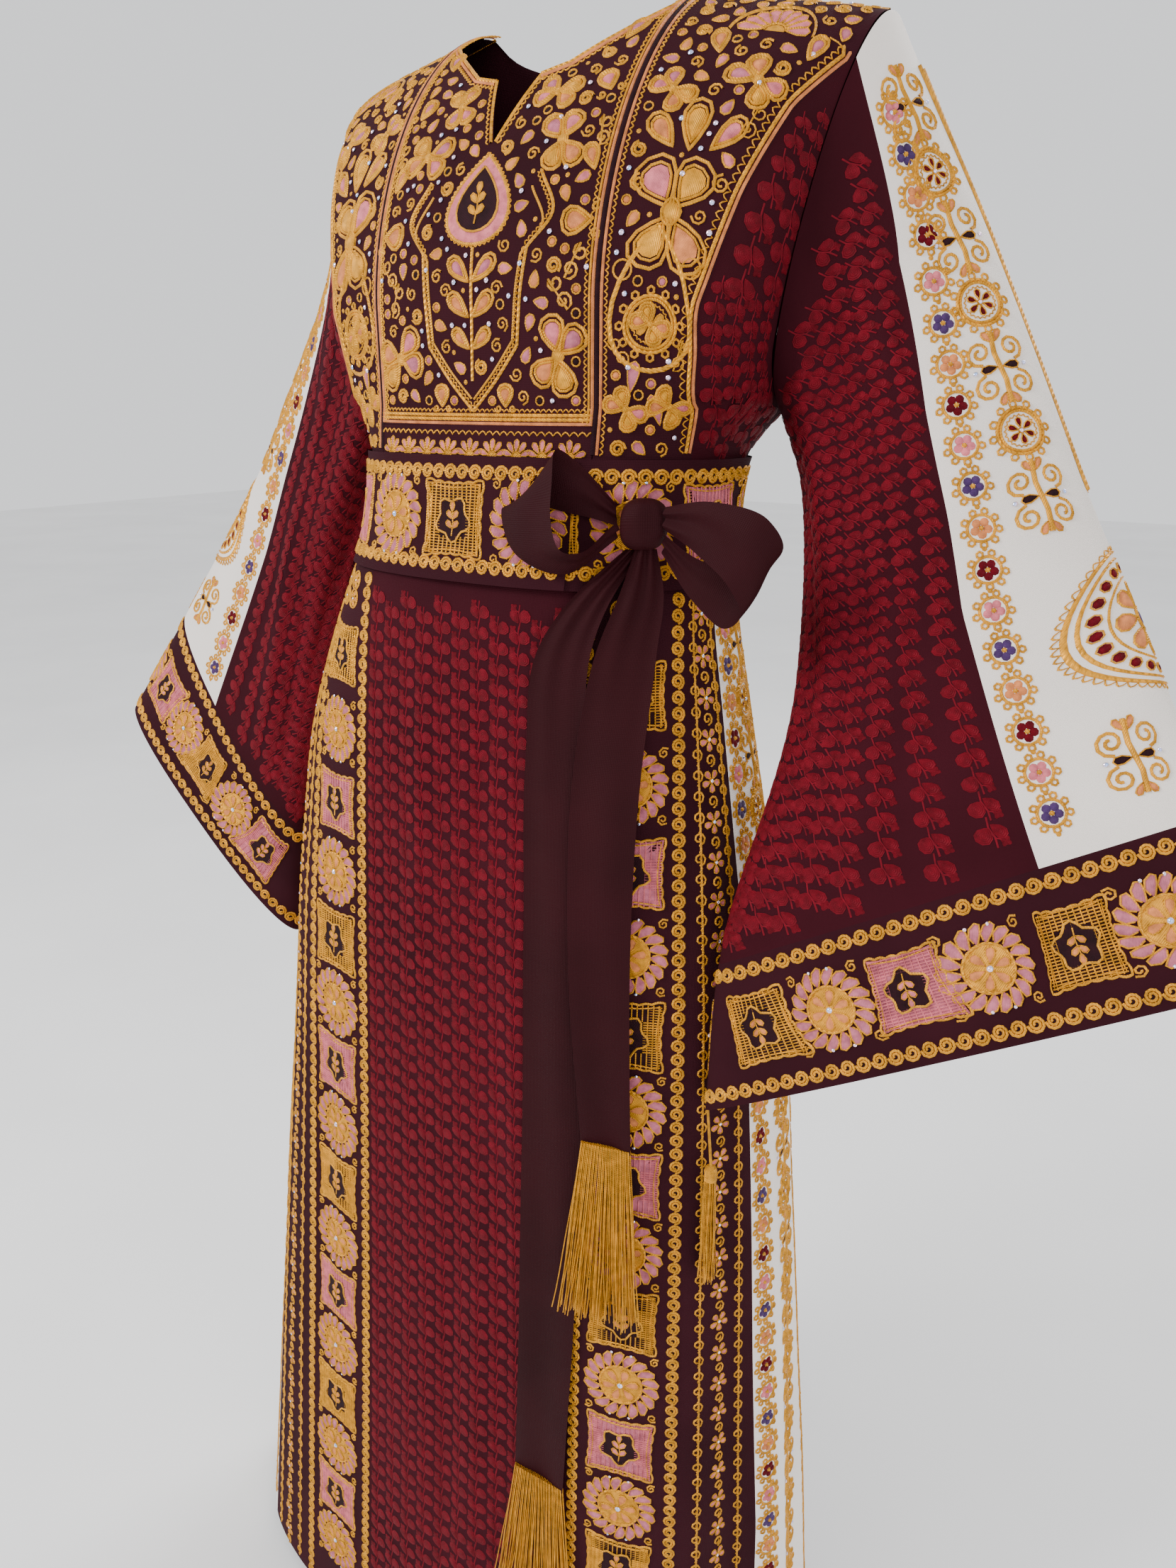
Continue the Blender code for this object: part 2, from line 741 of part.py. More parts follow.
# bow loops: share of the ribbon, its middle along, out and up from the knot, its
# width, and the way of its width along, out and up
LOOP_RIGHT = [
    (0.00, 0.0185, -0.0009, 0.006, 0.015, 0.10, 0.00, 1.00),
    (0.20, 0.0470, 0.0065, 0.021, 0.034, 0.00, 0.10, 1.00),
    (0.38, 0.0760, 0.0135, 0.026, 0.044, -0.45, 0.35, 0.80),
    (0.50, 0.0870, 0.0225, 0.008, 0.046, -0.85, 0.50, 0.10),
    (0.62, 0.0820, 0.0295, -0.018, 0.044, -0.80, 0.55, 0.10),
    (0.78, 0.0560, 0.0295, -0.028, 0.031, -0.40, 0.60, 0.50),
    (1.00, 0.0195, 0.0081, -0.006, 0.014, 0.00, 0.60, 0.75),
]
LOOP_LEFT = [
    (0.00, 0.0130, 0.0080, 0.004, 0.015, 0.00, 0.10, 1.00),
    (0.22, 0.0410, 0.0170, -0.001, 0.036, 0.30, 0.10, 0.90),
    (0.40, 0.0680, 0.0200, -0.015, 0.050, 0.45, 0.05, 0.85),
    (0.52, 0.0820, 0.0090, -0.032, 0.050, 0.50, -0.10, 0.80),
    (0.64, 0.0700, 0.0010, -0.044, 0.042, 0.45, -0.20, 0.70),
    (0.80, 0.0400, 0.0030, -0.034, 0.026, 0.30, -0.10, 0.75),
    (1.00, 0.0140, 0.0030, -0.011, 0.013, 0.00, 0.10, 0.90),
]
LOOP_WAY = {"right": (-0.970, -0.240), "left": (0.960, 0.060)}


def loop_path(rows, way, steps=20):
    """Middle points and width vectors of a ribbon loop beside the knot."""
    middle, out = knot_frame()
    along = np.array([way[0], way[1], 0.0])
    along /= np.linalg.norm(along)
    up = np.array([0.0, 0.0, 1.0])
    centre, across = [], []
    for i in range(steps + 1):
        row = [smooth_table(rows, i / steps, c) for c in range(1, 8)]
        centre.append(middle + along * row[0] + out * row[1] + up * row[2])
        width = along * row[4] + out * row[5] + up * row[6]
        across.append(width / np.linalg.norm(width) * row[3])
    return np.array(centre), np.array(across)


def ribbon_piece(name, centre, across, cols, thickness, colour="plum"):
    """Ribbon of given middle line and width vectors."""
    share = np.linspace(-0.5, 0.5, cols + 1)
    points = np.array([centre + across * k for k in share])
    run = np.gradient(points, axis=1)
    side = np.gradient(points, axis=0)
    normals = np.cross(side, run)
    normals /= np.linalg.norm(normals, axis=2)[..., None]
    verts, faces = wall_mesh(points, normals, thickness)
    return make_object(name, verts, faces, colour, 0.5)


# ribbon tails: height, middle s, width, distance off the skirt
TAIL_LONG = [
    (-0.3740, 0.1270, 0.011, 0.0150),
    (-0.4050, 0.1060, 0.024, 0.0115),
    (-0.4400, 0.0900, 0.036, 0.0075),
    (-0.5200, 0.0860, 0.046, 0.0060),
    (-0.6500, 0.0890, 0.049, 0.0060),
    (-0.8200, 0.0920, 0.050, 0.0055),
    (-1.0000, 0.0920, 0.050, 0.0065),
    (-1.1600, 0.0900, 0.050, 0.0075),
]
TAIL_SHORT = [
    (-0.3735, 0.1325, 0.012, 0.0190),
    (-0.4050, 0.1340, 0.026, 0.0170),
    (-0.4400, 0.1300, 0.036, 0.0130),
    (-0.5200, 0.1240, 0.044, 0.0115),
    (-0.6500, 0.1260, 0.044, 0.0110),
    (-0.8150, 0.1390, 0.038, 0.0125),
]


def tail_line(rows, count):
    top, end = rows[0][0], rows[-1][0]
    centre, across, outward = [], [], []
    for i in range(count + 1):
        z = top + (end - top) * i / count
        s = smooth_table(rows, z, 1)
        width = smooth_table(rows, z, 2)
        off = smooth_table(rows, z, 3)
        a = skirt_point(s - width / 2, z, off)[0]
        b = skirt_point(s + width / 2, z, off)[0]
        centre.append((a + b) / 2)
        across.append(b - a)
        outward.append(skirt_point(s, z, off)[1])
    return np.array(centre), np.array(across), np.array(outward)


def comb_piece(name, top, right, out, size, cells, strand, length, spread, lean=0.0, stem=None):
    """A narrow backing with strands grown from the cells of its lower face.

    top is the middle of the backing's upper face; size is width, depth, height;
    stem is the way from there to the upper end of the cord it hangs on."""
    right = right / np.linalg.norm(right)
    out = out - right * np.dot(out, right)
    out[2] = 0.0
    out /= np.linalg.norm(out)
    down = np.array([0.0, 0.0, -1.0])
    width, depth, height = size
    across, deep = cells
    verts, faces = [], []

    def at(x, y, z):
        verts.append(top + right * x + out * y + down * z)
        return len(verts) - 1

    upper = {}
    lower = {}
    for i in range(across + 1):
        for j in range(deep + 1):
            x = width * (i / across - 0.5)
            y = depth * (j / deep - 0.5)
            upper[i, j] = at(x, y, 0.0)
            lower[i, j] = at(x, y, height)
    middle = (across // 2, deep // 2)
    for i in range(across):
        for j in range(deep):
            if stem is not None and (i, j) == middle:
                ring = [upper[i, j], upper[i + 1, j], upper[i + 1, j + 1], upper[i, j + 1]]
                x = width * ((i + 0.5) / across - 0.5)
                y = depth * ((j + 0.5) / deep - 0.5)
                tip = []
                for dx, dy in ((-1, -1), (1, -1), (1, 1), (-1, 1)):
                    tip.append((x + dx * 0.0008, y + dy * 0.0008))
                base = [at(u, v, 0.0) for u, v in tip]
                head = []
                for u, v in tip:
                    verts.append(top + right * u + out * v + stem)
                    head.append(len(verts) - 1)
                for k in range(4):
                    m = (k + 1) % 4
                    faces.append((ring[k], ring[m], base[m], base[k]))
                    faces.append((base[k], base[m], head[m], head[k]))
                faces.append(tuple(head))
            else:
                faces.append((upper[i, j], upper[i + 1, j], upper[i + 1, j + 1], upper[i, j + 1]))
    for i in range(across):
        for j in (0, deep):
            faces.append((upper[i, j], upper[i + 1, j], lower[i + 1, j], lower[i, j]))
    for j in range(deep):
        for i in (0, across):
            faces.append((upper[i, j], upper[i, j + 1], lower[i, j + 1], lower[i, j]))
    for i in range(across):
        for j in range(deep):
            ring = [lower[i, j], lower[i + 1, j], lower[i + 1, j + 1], lower[i, j + 1]]
            x = width * ((i + 0.5) / across - 0.5)
            y = depth * ((j + 0.5) / deep - 0.5)
            wave = sin(12.9 * i + 4.1 * j)
            last = ring
            for step, share in enumerate((0.0, 0.35, 0.7, 1.0)):
                drop = height + length * share * (1 - 0.05 * (0.5 + 0.5 * wave))
                fan = 1 + spread * share**1.3
                u0 = x * fan
                v0 = y * (1 + 1.4 * share) + lean * length * share
                corner = []
                for dx, dy in ((-1, -1), (1, -1), (1, 1), (-1, 1)):
                    corner.append(at(u0 + dx * strand, v0 + dy * strand * 0.8, drop))
                for k in range(4):
                    m = (k + 1) % 4
                    faces.append((last[k], last[m], corner[m], corner[k]))
                last = corner
            faces.append(tuple(last))
    return make_object(name, verts, faces, "gold", 0.45)


def build_bow():
    build_knot()
    for word, rows in (("left", LOOP_LEFT), ("right", LOOP_RIGHT)):
        centre, across = loop_path(rows, LOOP_WAY[word])
        ribbon_piece("bow_loop_" + word, centre, across, 4, RIBBON_WALL)
    for word, rows, count in (("long", TAIL_LONG, 16), ("short", TAIL_SHORT, 12)):
        centre, across, outward = tail_line(rows, count)
        ribbon_piece("tail_" + word, centre, across, 3, RIBBON_WALL)
        top = centre[-1] + np.array([0.0, 0.0, -0.0006])
        size = (np.linalg.norm(across[-1]) - 0.001, 0.0044, 0.005)
        end = rows[-1]
        near, far = skirt_point(end[1], end[0])[0], skirt_point(end[1], end[0] - 0.12)[0]
        lean = np.hypot(*(far - near)[:2]) / 0.12 + 0.02
        comb_piece("fringe_" + word, top, across[-1], outward[-1], size,
                   (22, 2), 0.00055, FRINGE_LENGTH, 0.45, lean)


def build_tassel():
    tip = sleeve(1, pi, 1.0)
    hang = np.array([0.006, -0.003, -0.046])
    top = tip + hang
    stem = -hang - np.array([0.0, 0.0, 0.0006])
    comb_piece("sleeve_tassel", top, np.array([1.0, 0.2, 0.0]), np.array([0.2, -1.0, 0.0]),
               (0.0090, 0.0090, 0.012), (4, 4), 0.0006, TASSEL_LENGTH, 0.5, stem=stem)


for old in list(bpy.data.objects):
    bpy.data.objects.remove(old, do_unlink=True)

build_bodice()
build_sleeve(1, "left")
build_sleeve(-1, "right")
build_skirt()
build_belt()
build_bow()
build_tassel()
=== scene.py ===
from math import acos, cos, pi, radians, sin

import bpy
import numpy as np
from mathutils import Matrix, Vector
from mathutils.kdtree import KDTree


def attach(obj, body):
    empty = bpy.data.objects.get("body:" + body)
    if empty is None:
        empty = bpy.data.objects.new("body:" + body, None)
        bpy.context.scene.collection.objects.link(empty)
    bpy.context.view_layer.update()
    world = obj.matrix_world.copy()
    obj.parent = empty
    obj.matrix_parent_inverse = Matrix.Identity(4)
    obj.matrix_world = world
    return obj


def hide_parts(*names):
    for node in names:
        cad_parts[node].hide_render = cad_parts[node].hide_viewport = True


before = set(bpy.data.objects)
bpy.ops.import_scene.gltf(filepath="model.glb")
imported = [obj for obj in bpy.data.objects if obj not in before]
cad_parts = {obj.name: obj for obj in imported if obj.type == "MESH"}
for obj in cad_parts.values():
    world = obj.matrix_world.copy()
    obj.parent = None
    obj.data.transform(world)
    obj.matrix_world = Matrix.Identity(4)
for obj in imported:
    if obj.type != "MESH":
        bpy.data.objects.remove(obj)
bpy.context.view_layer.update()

# Sizes of the garment's form, in metres
WALL = 0.0016
BELT_WALL = 0.0024
UNDERARM_Z = -0.285
BUST_Z = -0.220
WAIST_Z = -0.362
HEM_Z = -1.500
BELT_TOP_Z = -0.318
BELT_BOTTOM_Z = -0.404
CHEST_PANEL_BOTTOM_Z = -0.298
SHOULDER_Y = 0.052
SHOULDER_Z = -0.018
SHOULDER_SLOPE = 0.23
NECK_HALF_WIDTH = 0.096
SLIT_BOTTOM_Z = -0.118
SLIT_HALF_WIDTH = 0.018
FRONT_ROLL = 1.75
BACK_ROLL = 2.2
BACK_POWER = 2.05
CUFF_START = 0.78
WHITE_HALF = 0.80
KNOT_S = 0.130
KNOT_Z = -0.360
KNOT_HALF = (0.016, 0.0135, 0.017)
BELT_UNDER_S = 0.035
BELT_OVER_S = 0.086
BELT_CLEAR = WALL / 2 + 0.0010 + BELT_WALL / 2
BELT_STEP = BELT_WALL + 0.0007
FACE = WALL / 2 + 0.0001   # from the middle of the cloth to its outer face
BAND_TOP = 0.848           # share of the yoke height where the shoulder band ends at the armhole

# Threads of the fringes and the tassel: count, length and radius
FRINGE = (95, 0.158, 0.00065)
TASSEL = (50, 0.100, 0.0006)

# Embroidery: steps from one motif to the next and distances from a seam, in metres
COIN_STEP, COIN_INSET = 0.0112, 0.0057      # the border of gold coils
BAND_STEP, CUFF_STEP, BELT_PITCH = 0.0626, 0.0560, 0.061
CHAIN_STEP, CHAIN_INSET = 0.0265, 0.0142    # ringed flowers beside the ivory seams
VINE_STEP = 0.0420
RED_WIDTH, RED_STEP = 0.0215, 0.0200        # one repeat of the crimson pattern
ROUND_R, ROUND_CLEAR = 0.046, 0.070         # the large round, and the room kept for it
SIDES = ((1, "left"), (-1, "right"))        # sign of x, and the wearer's side

# height, half width at +X, half width at -X, front, back, side y, front power
BODY = [
    (-0.285, 0.174, 0.174, 0.110, 0.080, 0.020, 2.6),
    (-0.315, 0.154, 0.151, 0.116, 0.077, 0.002, 2.7),
    (-0.340, 0.150, 0.146, 0.120, 0.076, -0.008, 2.7),
    (-0.365, 0.150, 0.146, 0.123, 0.075, -0.014, 2.7),
    (-0.420, 0.156, 0.166, 0.132, 0.076, -0.022, 2.8),
    (-0.500, 0.172, 0.202, 0.138, 0.080, -0.024, 2.9),
    (-0.650, 0.202, 0.237, 0.147, 0.088, -0.026, 3.0),
    (-0.900, 0.232, 0.280, 0.160, 0.100, -0.028, 3.0),
    (-1.200, 0.258, 0.325, 0.179, 0.114, -0.030, 3.0),
    (-1.500, 0.282, 0.365, 0.202, 0.128, -0.030, 3.0),
]

# height, then the distance from the centre front along the cloth, to the edge of
# the centre panel, the embroidered band, the plain side panel and the white panel
SKIRT_SEAMS = [
    (-0.300, 0.096, 0.165, 0.190, 0.250),
    (-0.420, 0.097, 0.172, 0.205, 0.270),
    (-0.700, 0.103, 0.190, 0.245, 0.350),
    (-1.200, 0.114, 0.212, 0.290, 0.430),
    (-1.500, 0.120, 0.222, 0.310, 0.475),
]

# skirt folds: side, place as a share of the half hem, width share, depth, start height
FOLDS = [
    (1, 0.075, 0.045, -0.0040, -0.60),
    (1, 0.020, 0.040, 0.0030, -0.75),
    (1, 0.395, 0.034, -0.0110, -0.50),
    (1, 0.465, 0.036, 0.0070, -0.45),
    (1, 0.545, 0.034, -0.0090, -0.62),
    (1, 0.630, 0.042, 0.0090, -0.50),
    (1, 0.720, 0.040, -0.0100, -0.48),
    (1, 0.800, 0.044, 0.0080, -0.55),
    (1, 0.890, 0.040, -0.0110, -0.45),
    (-1, 0.060, 0.050, 0.0030, -0.80),
    (-1, 0.410, 0.036, -0.0090, -0.55),
    (-1, 0.490, 0.040, 0.0080, -0.50),
    (-1, 0.580, 0.036, -0.0100, -0.46),
    (-1, 0.665, 0.040, 0.0070, -0.60),
    (-1, 0.750, 0.044, -0.0090, -0.50),
    (-1, 0.840, 0.038, 0.0090, -0.47),
    (-1, 0.920, 0.040, -0.0100, -0.58),
]

# sleeve sections: share of the length, outer fold x y z, inner line x y z,
# half thickness, power of the oval
SLEEVE_LEFT = [
    (0.00, 0.222, 0.052, -0.047, 0.174, 0.020, -0.285, 0.055, 2.2),
    (0.15, 0.270, 0.075, -0.140, 0.196, 0.015, -0.335, 0.050, 2.2),
    (0.40, 0.350, 0.060, -0.290, 0.222, -0.035, -0.470, 0.042, 2.2),
    (0.78, 0.487, -0.005, -0.520, 0.207, -0.108, -0.660, 0.032, 2.3),
    (1.00, 0.535, -0.050, -0.600, 0.210, -0.125, -0.770, 0.030, 2.4),
]
SLEEVE_RIGHT = [
    (0.00, 0.222, 0.052, -0.047, 0.174, 0.020, -0.285, 0.055, 2.2),
    (0.15, 0.270, 0.075, -0.140, 0.196, 0.015, -0.335, 0.050, 2.2),
    (0.40, 0.350, 0.055, -0.290, 0.235, -0.010, -0.470, 0.042, 2.2),
    (0.78, 0.462, -0.012, -0.492, 0.272, -0.055, -0.680, 0.032, 2.3),
    (1.00, 0.516, -0.050, -0.590, 0.282, -0.065, -0.785, 0.030, 2.4),
]

# share of the sleeve length, half angle of the white panel on the left and right
WHITE_EDGE = [
    (0.00, 0.80, 0.80),
    (0.15, 1.25, 1.25),
    (0.30, 1.40, 1.42),
    (0.50, 1.42, 1.50),
    (0.78, 1.27, 1.50),
    (1.00, 1.25, 1.50),
]

# half width, height of the front neckline, height of the back neckline
NECKLINE = [
    (0.000, -0.075, -0.052),
    (0.018, -0.074, -0.051),
    (0.038, -0.069, -0.048),
    (0.056, -0.057, -0.044),
    (0.075, -0.045, -0.037),
    (0.088, -0.036, -0.030),
    (0.096, -0.018, -0.018),
]

# share of the yoke height, outer edge of the shoulder band, edge of the back piece
BAND_EDGE = [
    (0.00, 0.165, 0.138),
    (0.25, 0.170, 0.140),
    (0.50, 0.190, 0.150),
    (0.70, 0.215, 0.165),
    (BAND_TOP, 1.000, 1.000),
]

# ribbon tails: height, middle s, width, distance off the skirt
TAIL_LONG = [
    (-0.3740, 0.1270, 0.011, 0.0150),
    (-0.4050, 0.1060, 0.024, 0.0115),
    (-0.4400, 0.0900, 0.036, 0.0075),
    (-0.5200, 0.0860, 0.046, 0.0060),
    (-0.6500, 0.0890, 0.049, 0.0060),
    (-0.8200, 0.0920, 0.050, 0.0055),
    (-1.0000, 0.0920, 0.050, 0.0065),
    (-1.1600, 0.0900, 0.050, 0.0075),
]
TAIL_SHORT = [
    (-0.3735, 0.1325, 0.012, 0.0190),
    (-0.4050, 0.1340, 0.026, 0.0170),
    (-0.4400, 0.1300, 0.036, 0.0130),
    (-0.5200, 0.1240, 0.044, 0.0115),
    (-0.6500, 0.1260, 0.044, 0.0110),
    (-0.8150, 0.1390, 0.038, 0.0125),
]

# bow loops: share of the way round; middle along the bow, outward and up; width; and the
# direction of the width along the bow, outward and up
LOOP_RIGHT = [
    (0.00, 0.0185, -0.0009, 0.006, 0.015, 0.10, 0.00, 1.00),
    (0.20, 0.0470, 0.0065, 0.021, 0.034, 0.00, 0.10, 1.00),
    (0.38, 0.0760, 0.0135, 0.026, 0.044, -0.45, 0.35, 0.80),
    (0.50, 0.0870, 0.0225, 0.008, 0.046, -0.85, 0.50, 0.10),
    (0.62, 0.0820, 0.0295, -0.018, 0.044, -0.80, 0.55, 0.10),
    (0.78, 0.0560, 0.0295, -0.028, 0.031, -0.40, 0.60, 0.50),
    (1.00, 0.0195, 0.0081, -0.006, 0.014, 0.00, 0.60, 0.75),
]
LOOP_LEFT = [
    (0.00, 0.0130, 0.0080, 0.004, 0.015, 0.00, 0.10, 1.00),
    (0.22, 0.0410, 0.0170, -0.001, 0.036, 0.30, 0.10, 0.90),
    (0.40, 0.0680, 0.0200, -0.015, 0.050, 0.45, 0.05, 0.85),
    (0.52, 0.0820, 0.0090, -0.032, 0.050, 0.50, -0.10, 0.80),
    (0.64, 0.0700, 0.0010, -0.044, 0.042, 0.45, -0.20, 0.70),
    (0.80, 0.0400, 0.0030, -0.034, 0.026, 0.30, -0.10, 0.75),
    (1.00, 0.0140, 0.0030, -0.011, 0.013, 0.00, 0.10, 0.90),
]
LOOP_WAY = {"right": (-0.970, -0.240), "left": (0.960, 0.060)}

# creases of a sleeve: base angle and share at both ends, half width, depth
SLEEVE_CREASES = [
    (1.35, 0.06, 0.95, 0.22, 0.20, 0.0030),
    (1.80, 0.03, 1.45, 0.30, 0.24, -0.0036),
    (2.40, 0.05, 1.70, 0.42, 0.22, 0.0034),
    (2.75, 0.10, 2.20, 0.62, 0.20, -0.0032),
    (1.15, 0.34, 1.62, 0.74, 0.17, 0.0040),
    (1.75, 0.40, 2.15, 0.77, 0.15, -0.0034),
    (0.30, 0.12, 0.18, 0.46, 0.16, 0.0022),
    (-0.25, 0.20, -0.42, 0.66, 0.18, -0.0024),
    (-1.30, 0.05, -1.05, 0.33, 0.20, 0.0034),
    (-1.75, 0.10, -1.95, 0.52, 0.24, -0.0034),
    (-2.55, 0.06, -2.10, 0.36, 0.20, 0.0030),
    (-1.35, 0.42, -1.15, 0.76, 0.15, 0.0038),
    (-2.30, 0.48, -2.50, 0.77, 0.18, -0.0030),
]
# creases of the skirt: s and z at both ends, half width, depth
SKIRT_CREASES = [
    (-0.035, -0.43, -0.050, -0.78, 0.012, 0.0022),
    (0.030, -0.46, 0.012, -0.66, 0.009, -0.0018),
    (0.052, -0.56, 0.060, -1.02, 0.014, 0.0026),
    (-0.005, -0.85, -0.018, -1.38, 0.016, -0.0026),
    (0.195, -0.45, 0.215, -0.88, 0.014, 0.0028),
    (-0.205, -0.47, -0.222, -0.80, 0.013, 0.0026),
    (-0.160, -0.74, -0.185, -1.22, 0.015, -0.0026),
    (0.262, -0.62, 0.290, -1.20, 0.018, -0.0030),
    (-0.275, -0.58, -0.300, -1.10, 0.018, 0.0030),
    (0.360, -0.45, 0.350, -0.92, 0.016, 0.0026),
    (-0.350, -0.44, -0.372, -0.98, 0.016, -0.0026),
    (0.410, -0.80, 0.440, -1.36, 0.020, 0.0030),
]
# creases of the bodice front and back: s and z at both ends, half width, depth
TORSO_CREASES = [
    (0.190, -0.262, 0.135, -0.205, 0.011, 0.0026),
    (0.185, -0.300, 0.150, -0.236, 0.010, -0.0020),
    (0.170, -0.325, 0.120, -0.300, 0.018, 0.0014),
    (-0.192, -0.258, -0.140, -0.198, 0.011, 0.0026),
    (-0.180, -0.306, -0.146, -0.246, 0.010, -0.0020),
    (-0.168, -0.324, -0.125, -0.304, 0.018, 0.0012),
]


def crease_at(rows, a, b, ratio=1.0):
    """Depth of the creases at places a, b; the way between ends fades out at both."""
    total = np.zeros_like(a)
    for a0, b0, a1, b1, width, depth in rows:
        da, db = a1 - a0, (b1 - b0) * ratio
        size = da * da + db * db
        t = ((a - a0) * da + (b - b0) * ratio * db) / size
        off = ((a - a0) * db - (b - b0) * ratio * da) / np.sqrt(size)
        grow = np.clip(1.2 * np.sin(pi * np.clip(t, 0.0, 1.0)), 0.0, 1.0)
        total += depth * grow * np.exp(-(off / width) ** 2)
    return total


def smooth_table(rows, at, column):
    """A column of a table between its rows, by a smooth cubic."""
    rows = sorted(rows)
    keys = [row[0] for row in rows]
    vals = [row[column] for row in rows]
    at = min(max(at, keys[0]), keys[-1])
    slopes = np.gradient(np.array(vals), np.array(keys))
    i = min(max(int(np.searchsorted(keys, at)) - 1, 0), len(keys) - 2)
    step = keys[i + 1] - keys[i]
    t = (at - keys[i]) / step
    return float(
        (2 * t**3 - 3 * t**2 + 1) * vals[i]
        + (t**3 - 2 * t**2 + t) * step * slopes[i]
        + (3 * t**2 - 2 * t**3) * vals[i + 1]
        + (t**3 - t**2) * step * slopes[i + 1]
    )


def straight_table(rows, at, column):
    """A column of a table between its rows, by straight lines."""
    rows = sorted(rows)
    return np.interp(at, [r[0] for r in rows], [r[column] for r in rows])


def ease(t):
    t = np.clip(t, 0.0, 1.0)
    return t * t * (3 - 2 * t)


def run_of(points):
    """Distance along a line of points, from 0 at its start."""
    return np.concatenate([[0.0], np.cumsum(np.linalg.norm(np.diff(points, axis=0), axis=1))])


def headings(points):
    """Unit direction of a line at each of its points."""
    d = np.gradient(points, axis=0)
    return d / (np.linalg.norm(d, axis=1)[:, None] + 1e-12)


def level(us, v):
    """Chart points along u at one v."""
    return np.column_stack([us, np.full(len(us), v)])


def upright(u, vs):
    """Chart points along v at one u."""
    return np.column_stack([np.full(len(vs), u), vs])


SECTIONS = {}


def section(z):
    """Arc lengths, points and outward normals round the body at a height."""
    key = round(float(z), 5)
    if key not in SECTIONS:
        left, right, front, back, side_y, power = [smooth_table(BODY, z, c) for c in range(1, 7)]
        th = np.linspace(-pi, pi, 721)
        c, s = np.cos(th), np.sin(th)
        p = np.where(c >= 0, power, BACK_POWER)
        depth = np.where(c >= 0, front + side_y, back - side_y)
        half = np.where(th >= 0, left, right)
        x = half * np.sign(s) * np.abs(s) ** (2 / p)
        y = side_y - depth * np.sign(c) * np.abs(c) ** (2 / p)
        step = np.hypot(np.diff(x), np.diff(y))
        length = np.concatenate([[0.0], np.cumsum(step)])
        length -= np.interp(0.0, th, length)
        tx, ty = np.gradient(x, length), np.gradient(y, length)
        norm = np.hypot(tx, ty)
        SECTIONS[key] = (length, x, y, ty / norm, -tx / norm,
                         float(np.interp(pi / 2, th, length)),
                         float(-np.interp(-pi / 2, th, length)))
    return SECTIONS[key]


def half_round(z, side):
    length = section(z)[0]
    return float(length[-1]) if side > 0 else float(-length[0])


def side_seam(z, side):
    return section(z)[5] if side > 0 else section(z)[6]


def fold_row(s, z):
    """Depth of the skirt folds at one height."""
    side = np.where(s >= 0, 1, -1)
    half = np.where(s >= 0, half_round(z, 1), half_round(z, -1))
    share = np.abs(s) / half
    total = np.zeros_like(s)
    for fold_side, place, width, depth, start in FOLDS:
        grow = ease((start - z) / (start - HEM_Z))
        near = np.where(side == fold_side, share - place,
                        np.minimum(share + place, 2 - share - place))
        total += depth * grow * np.exp(-(near / width) ** 2)
    return total


def body_row(s, z, out=0.0):
    """Points of the body at one height for an array of cloth distances."""
    s = np.asarray(s, float).copy()
    length, x, y, nx, ny = section(z)[:5]
    whole = length[-1] - length[0]
    s = np.where(s > length[-1], s - whole, s)
    s = np.where(s < length[0], s + whole, s)
    out = out + fold_row(s, z) + crease_at(SKIRT_CREASES, s, np.full_like(s, z))
    return np.stack([
        np.interp(s, length, x) + out * np.interp(s, length, nx),
        np.interp(s, length, y) + out * np.interp(s, length, ny),
        np.full_like(s, z),
    ], axis=-1)


def sleeve_row(side, angle, share):
    """Points of a sleeve at one share of its length for an array of angles."""
    rows = SLEEVE_LEFT if side > 0 else SLEEVE_RIGHT
    share = min(max(share, 0.0), 1.0)

    def ends(u):
        v = [smooth_table(rows, u, c) for c in range(1, 7)]
        return np.array(v[:3]), np.array(v[3:])

    outer, inner = ends(share)
    thick = smooth_table(rows, share, 7)
    power = smooth_table(rows, share, 8)
    before, after = ends(max(share - 0.02, 0.0)), ends(min(share + 0.02, 1.0))
    along = (after[0] + after[1]) - (before[0] + before[1])
    half = (outer - inner) / 2
    facing = np.cross(half, along)
    facing /= np.linalg.norm(facing)
    if facing[1] > 0:
        facing = -facing
    mix = min(1.0, share / 0.3)
    facing = facing * mix + np.array([0.0, -1.0, 0.0]) * (1 - mix)
    facing /= np.linalg.norm(facing)
    c, s = np.cos(angle), np.sin(angle)
    s = np.where(np.abs(s) < 1e-9, 0.0, s)
    a = np.sign(c) * np.abs(c) ** (2 / power)
    b = np.sign(s) * np.abs(s) ** (2 / power)
    point = (outer + inner) / 2 + a[..., None] * half + (b * thick)[..., None] * facing
    point[..., 0] *= side
    return point


def sleeve_surface_row(side, base, share):
    """Points of a sleeve's cloth at one share, with its creases."""
    point = plain_sleeve_row(side, base, share)
    way = point - point.mean(axis=0)
    way /= np.linalg.norm(way, axis=1)[:, None] + 1e-9
    stretch, deep = (1, 1.5) if side > 0 else (0.96, 1.3)
    depth = crease_at(SLEEVE_CREASES, base * stretch, np.full_like(base, share), 3.0)
    return point + way * depth[:, None] * deep


def plain_sleeve_row(side, base, share):
    """The same without creases, for angles given at the armhole, as the seams run."""
    edge = straight_table(WHITE_EDGE, share, 1 if side > 0 else 2)
    size = np.abs(base)
    near = size * edge / WHITE_HALF
    far = pi - (pi - size) * (pi - edge) / (pi - WHITE_HALF)
    angle = np.where(size <= WHITE_HALF, near, far) * np.where(base >= 0, 1, -1)
    point = sleeve_row(side, angle, share)
    clear = 0.0011 + 0.0020 * ((1 - np.cos(base)) / 2) ** 2
    point[..., 0] += side * clear * max(0.0, 1 - share / 0.10)
    return point


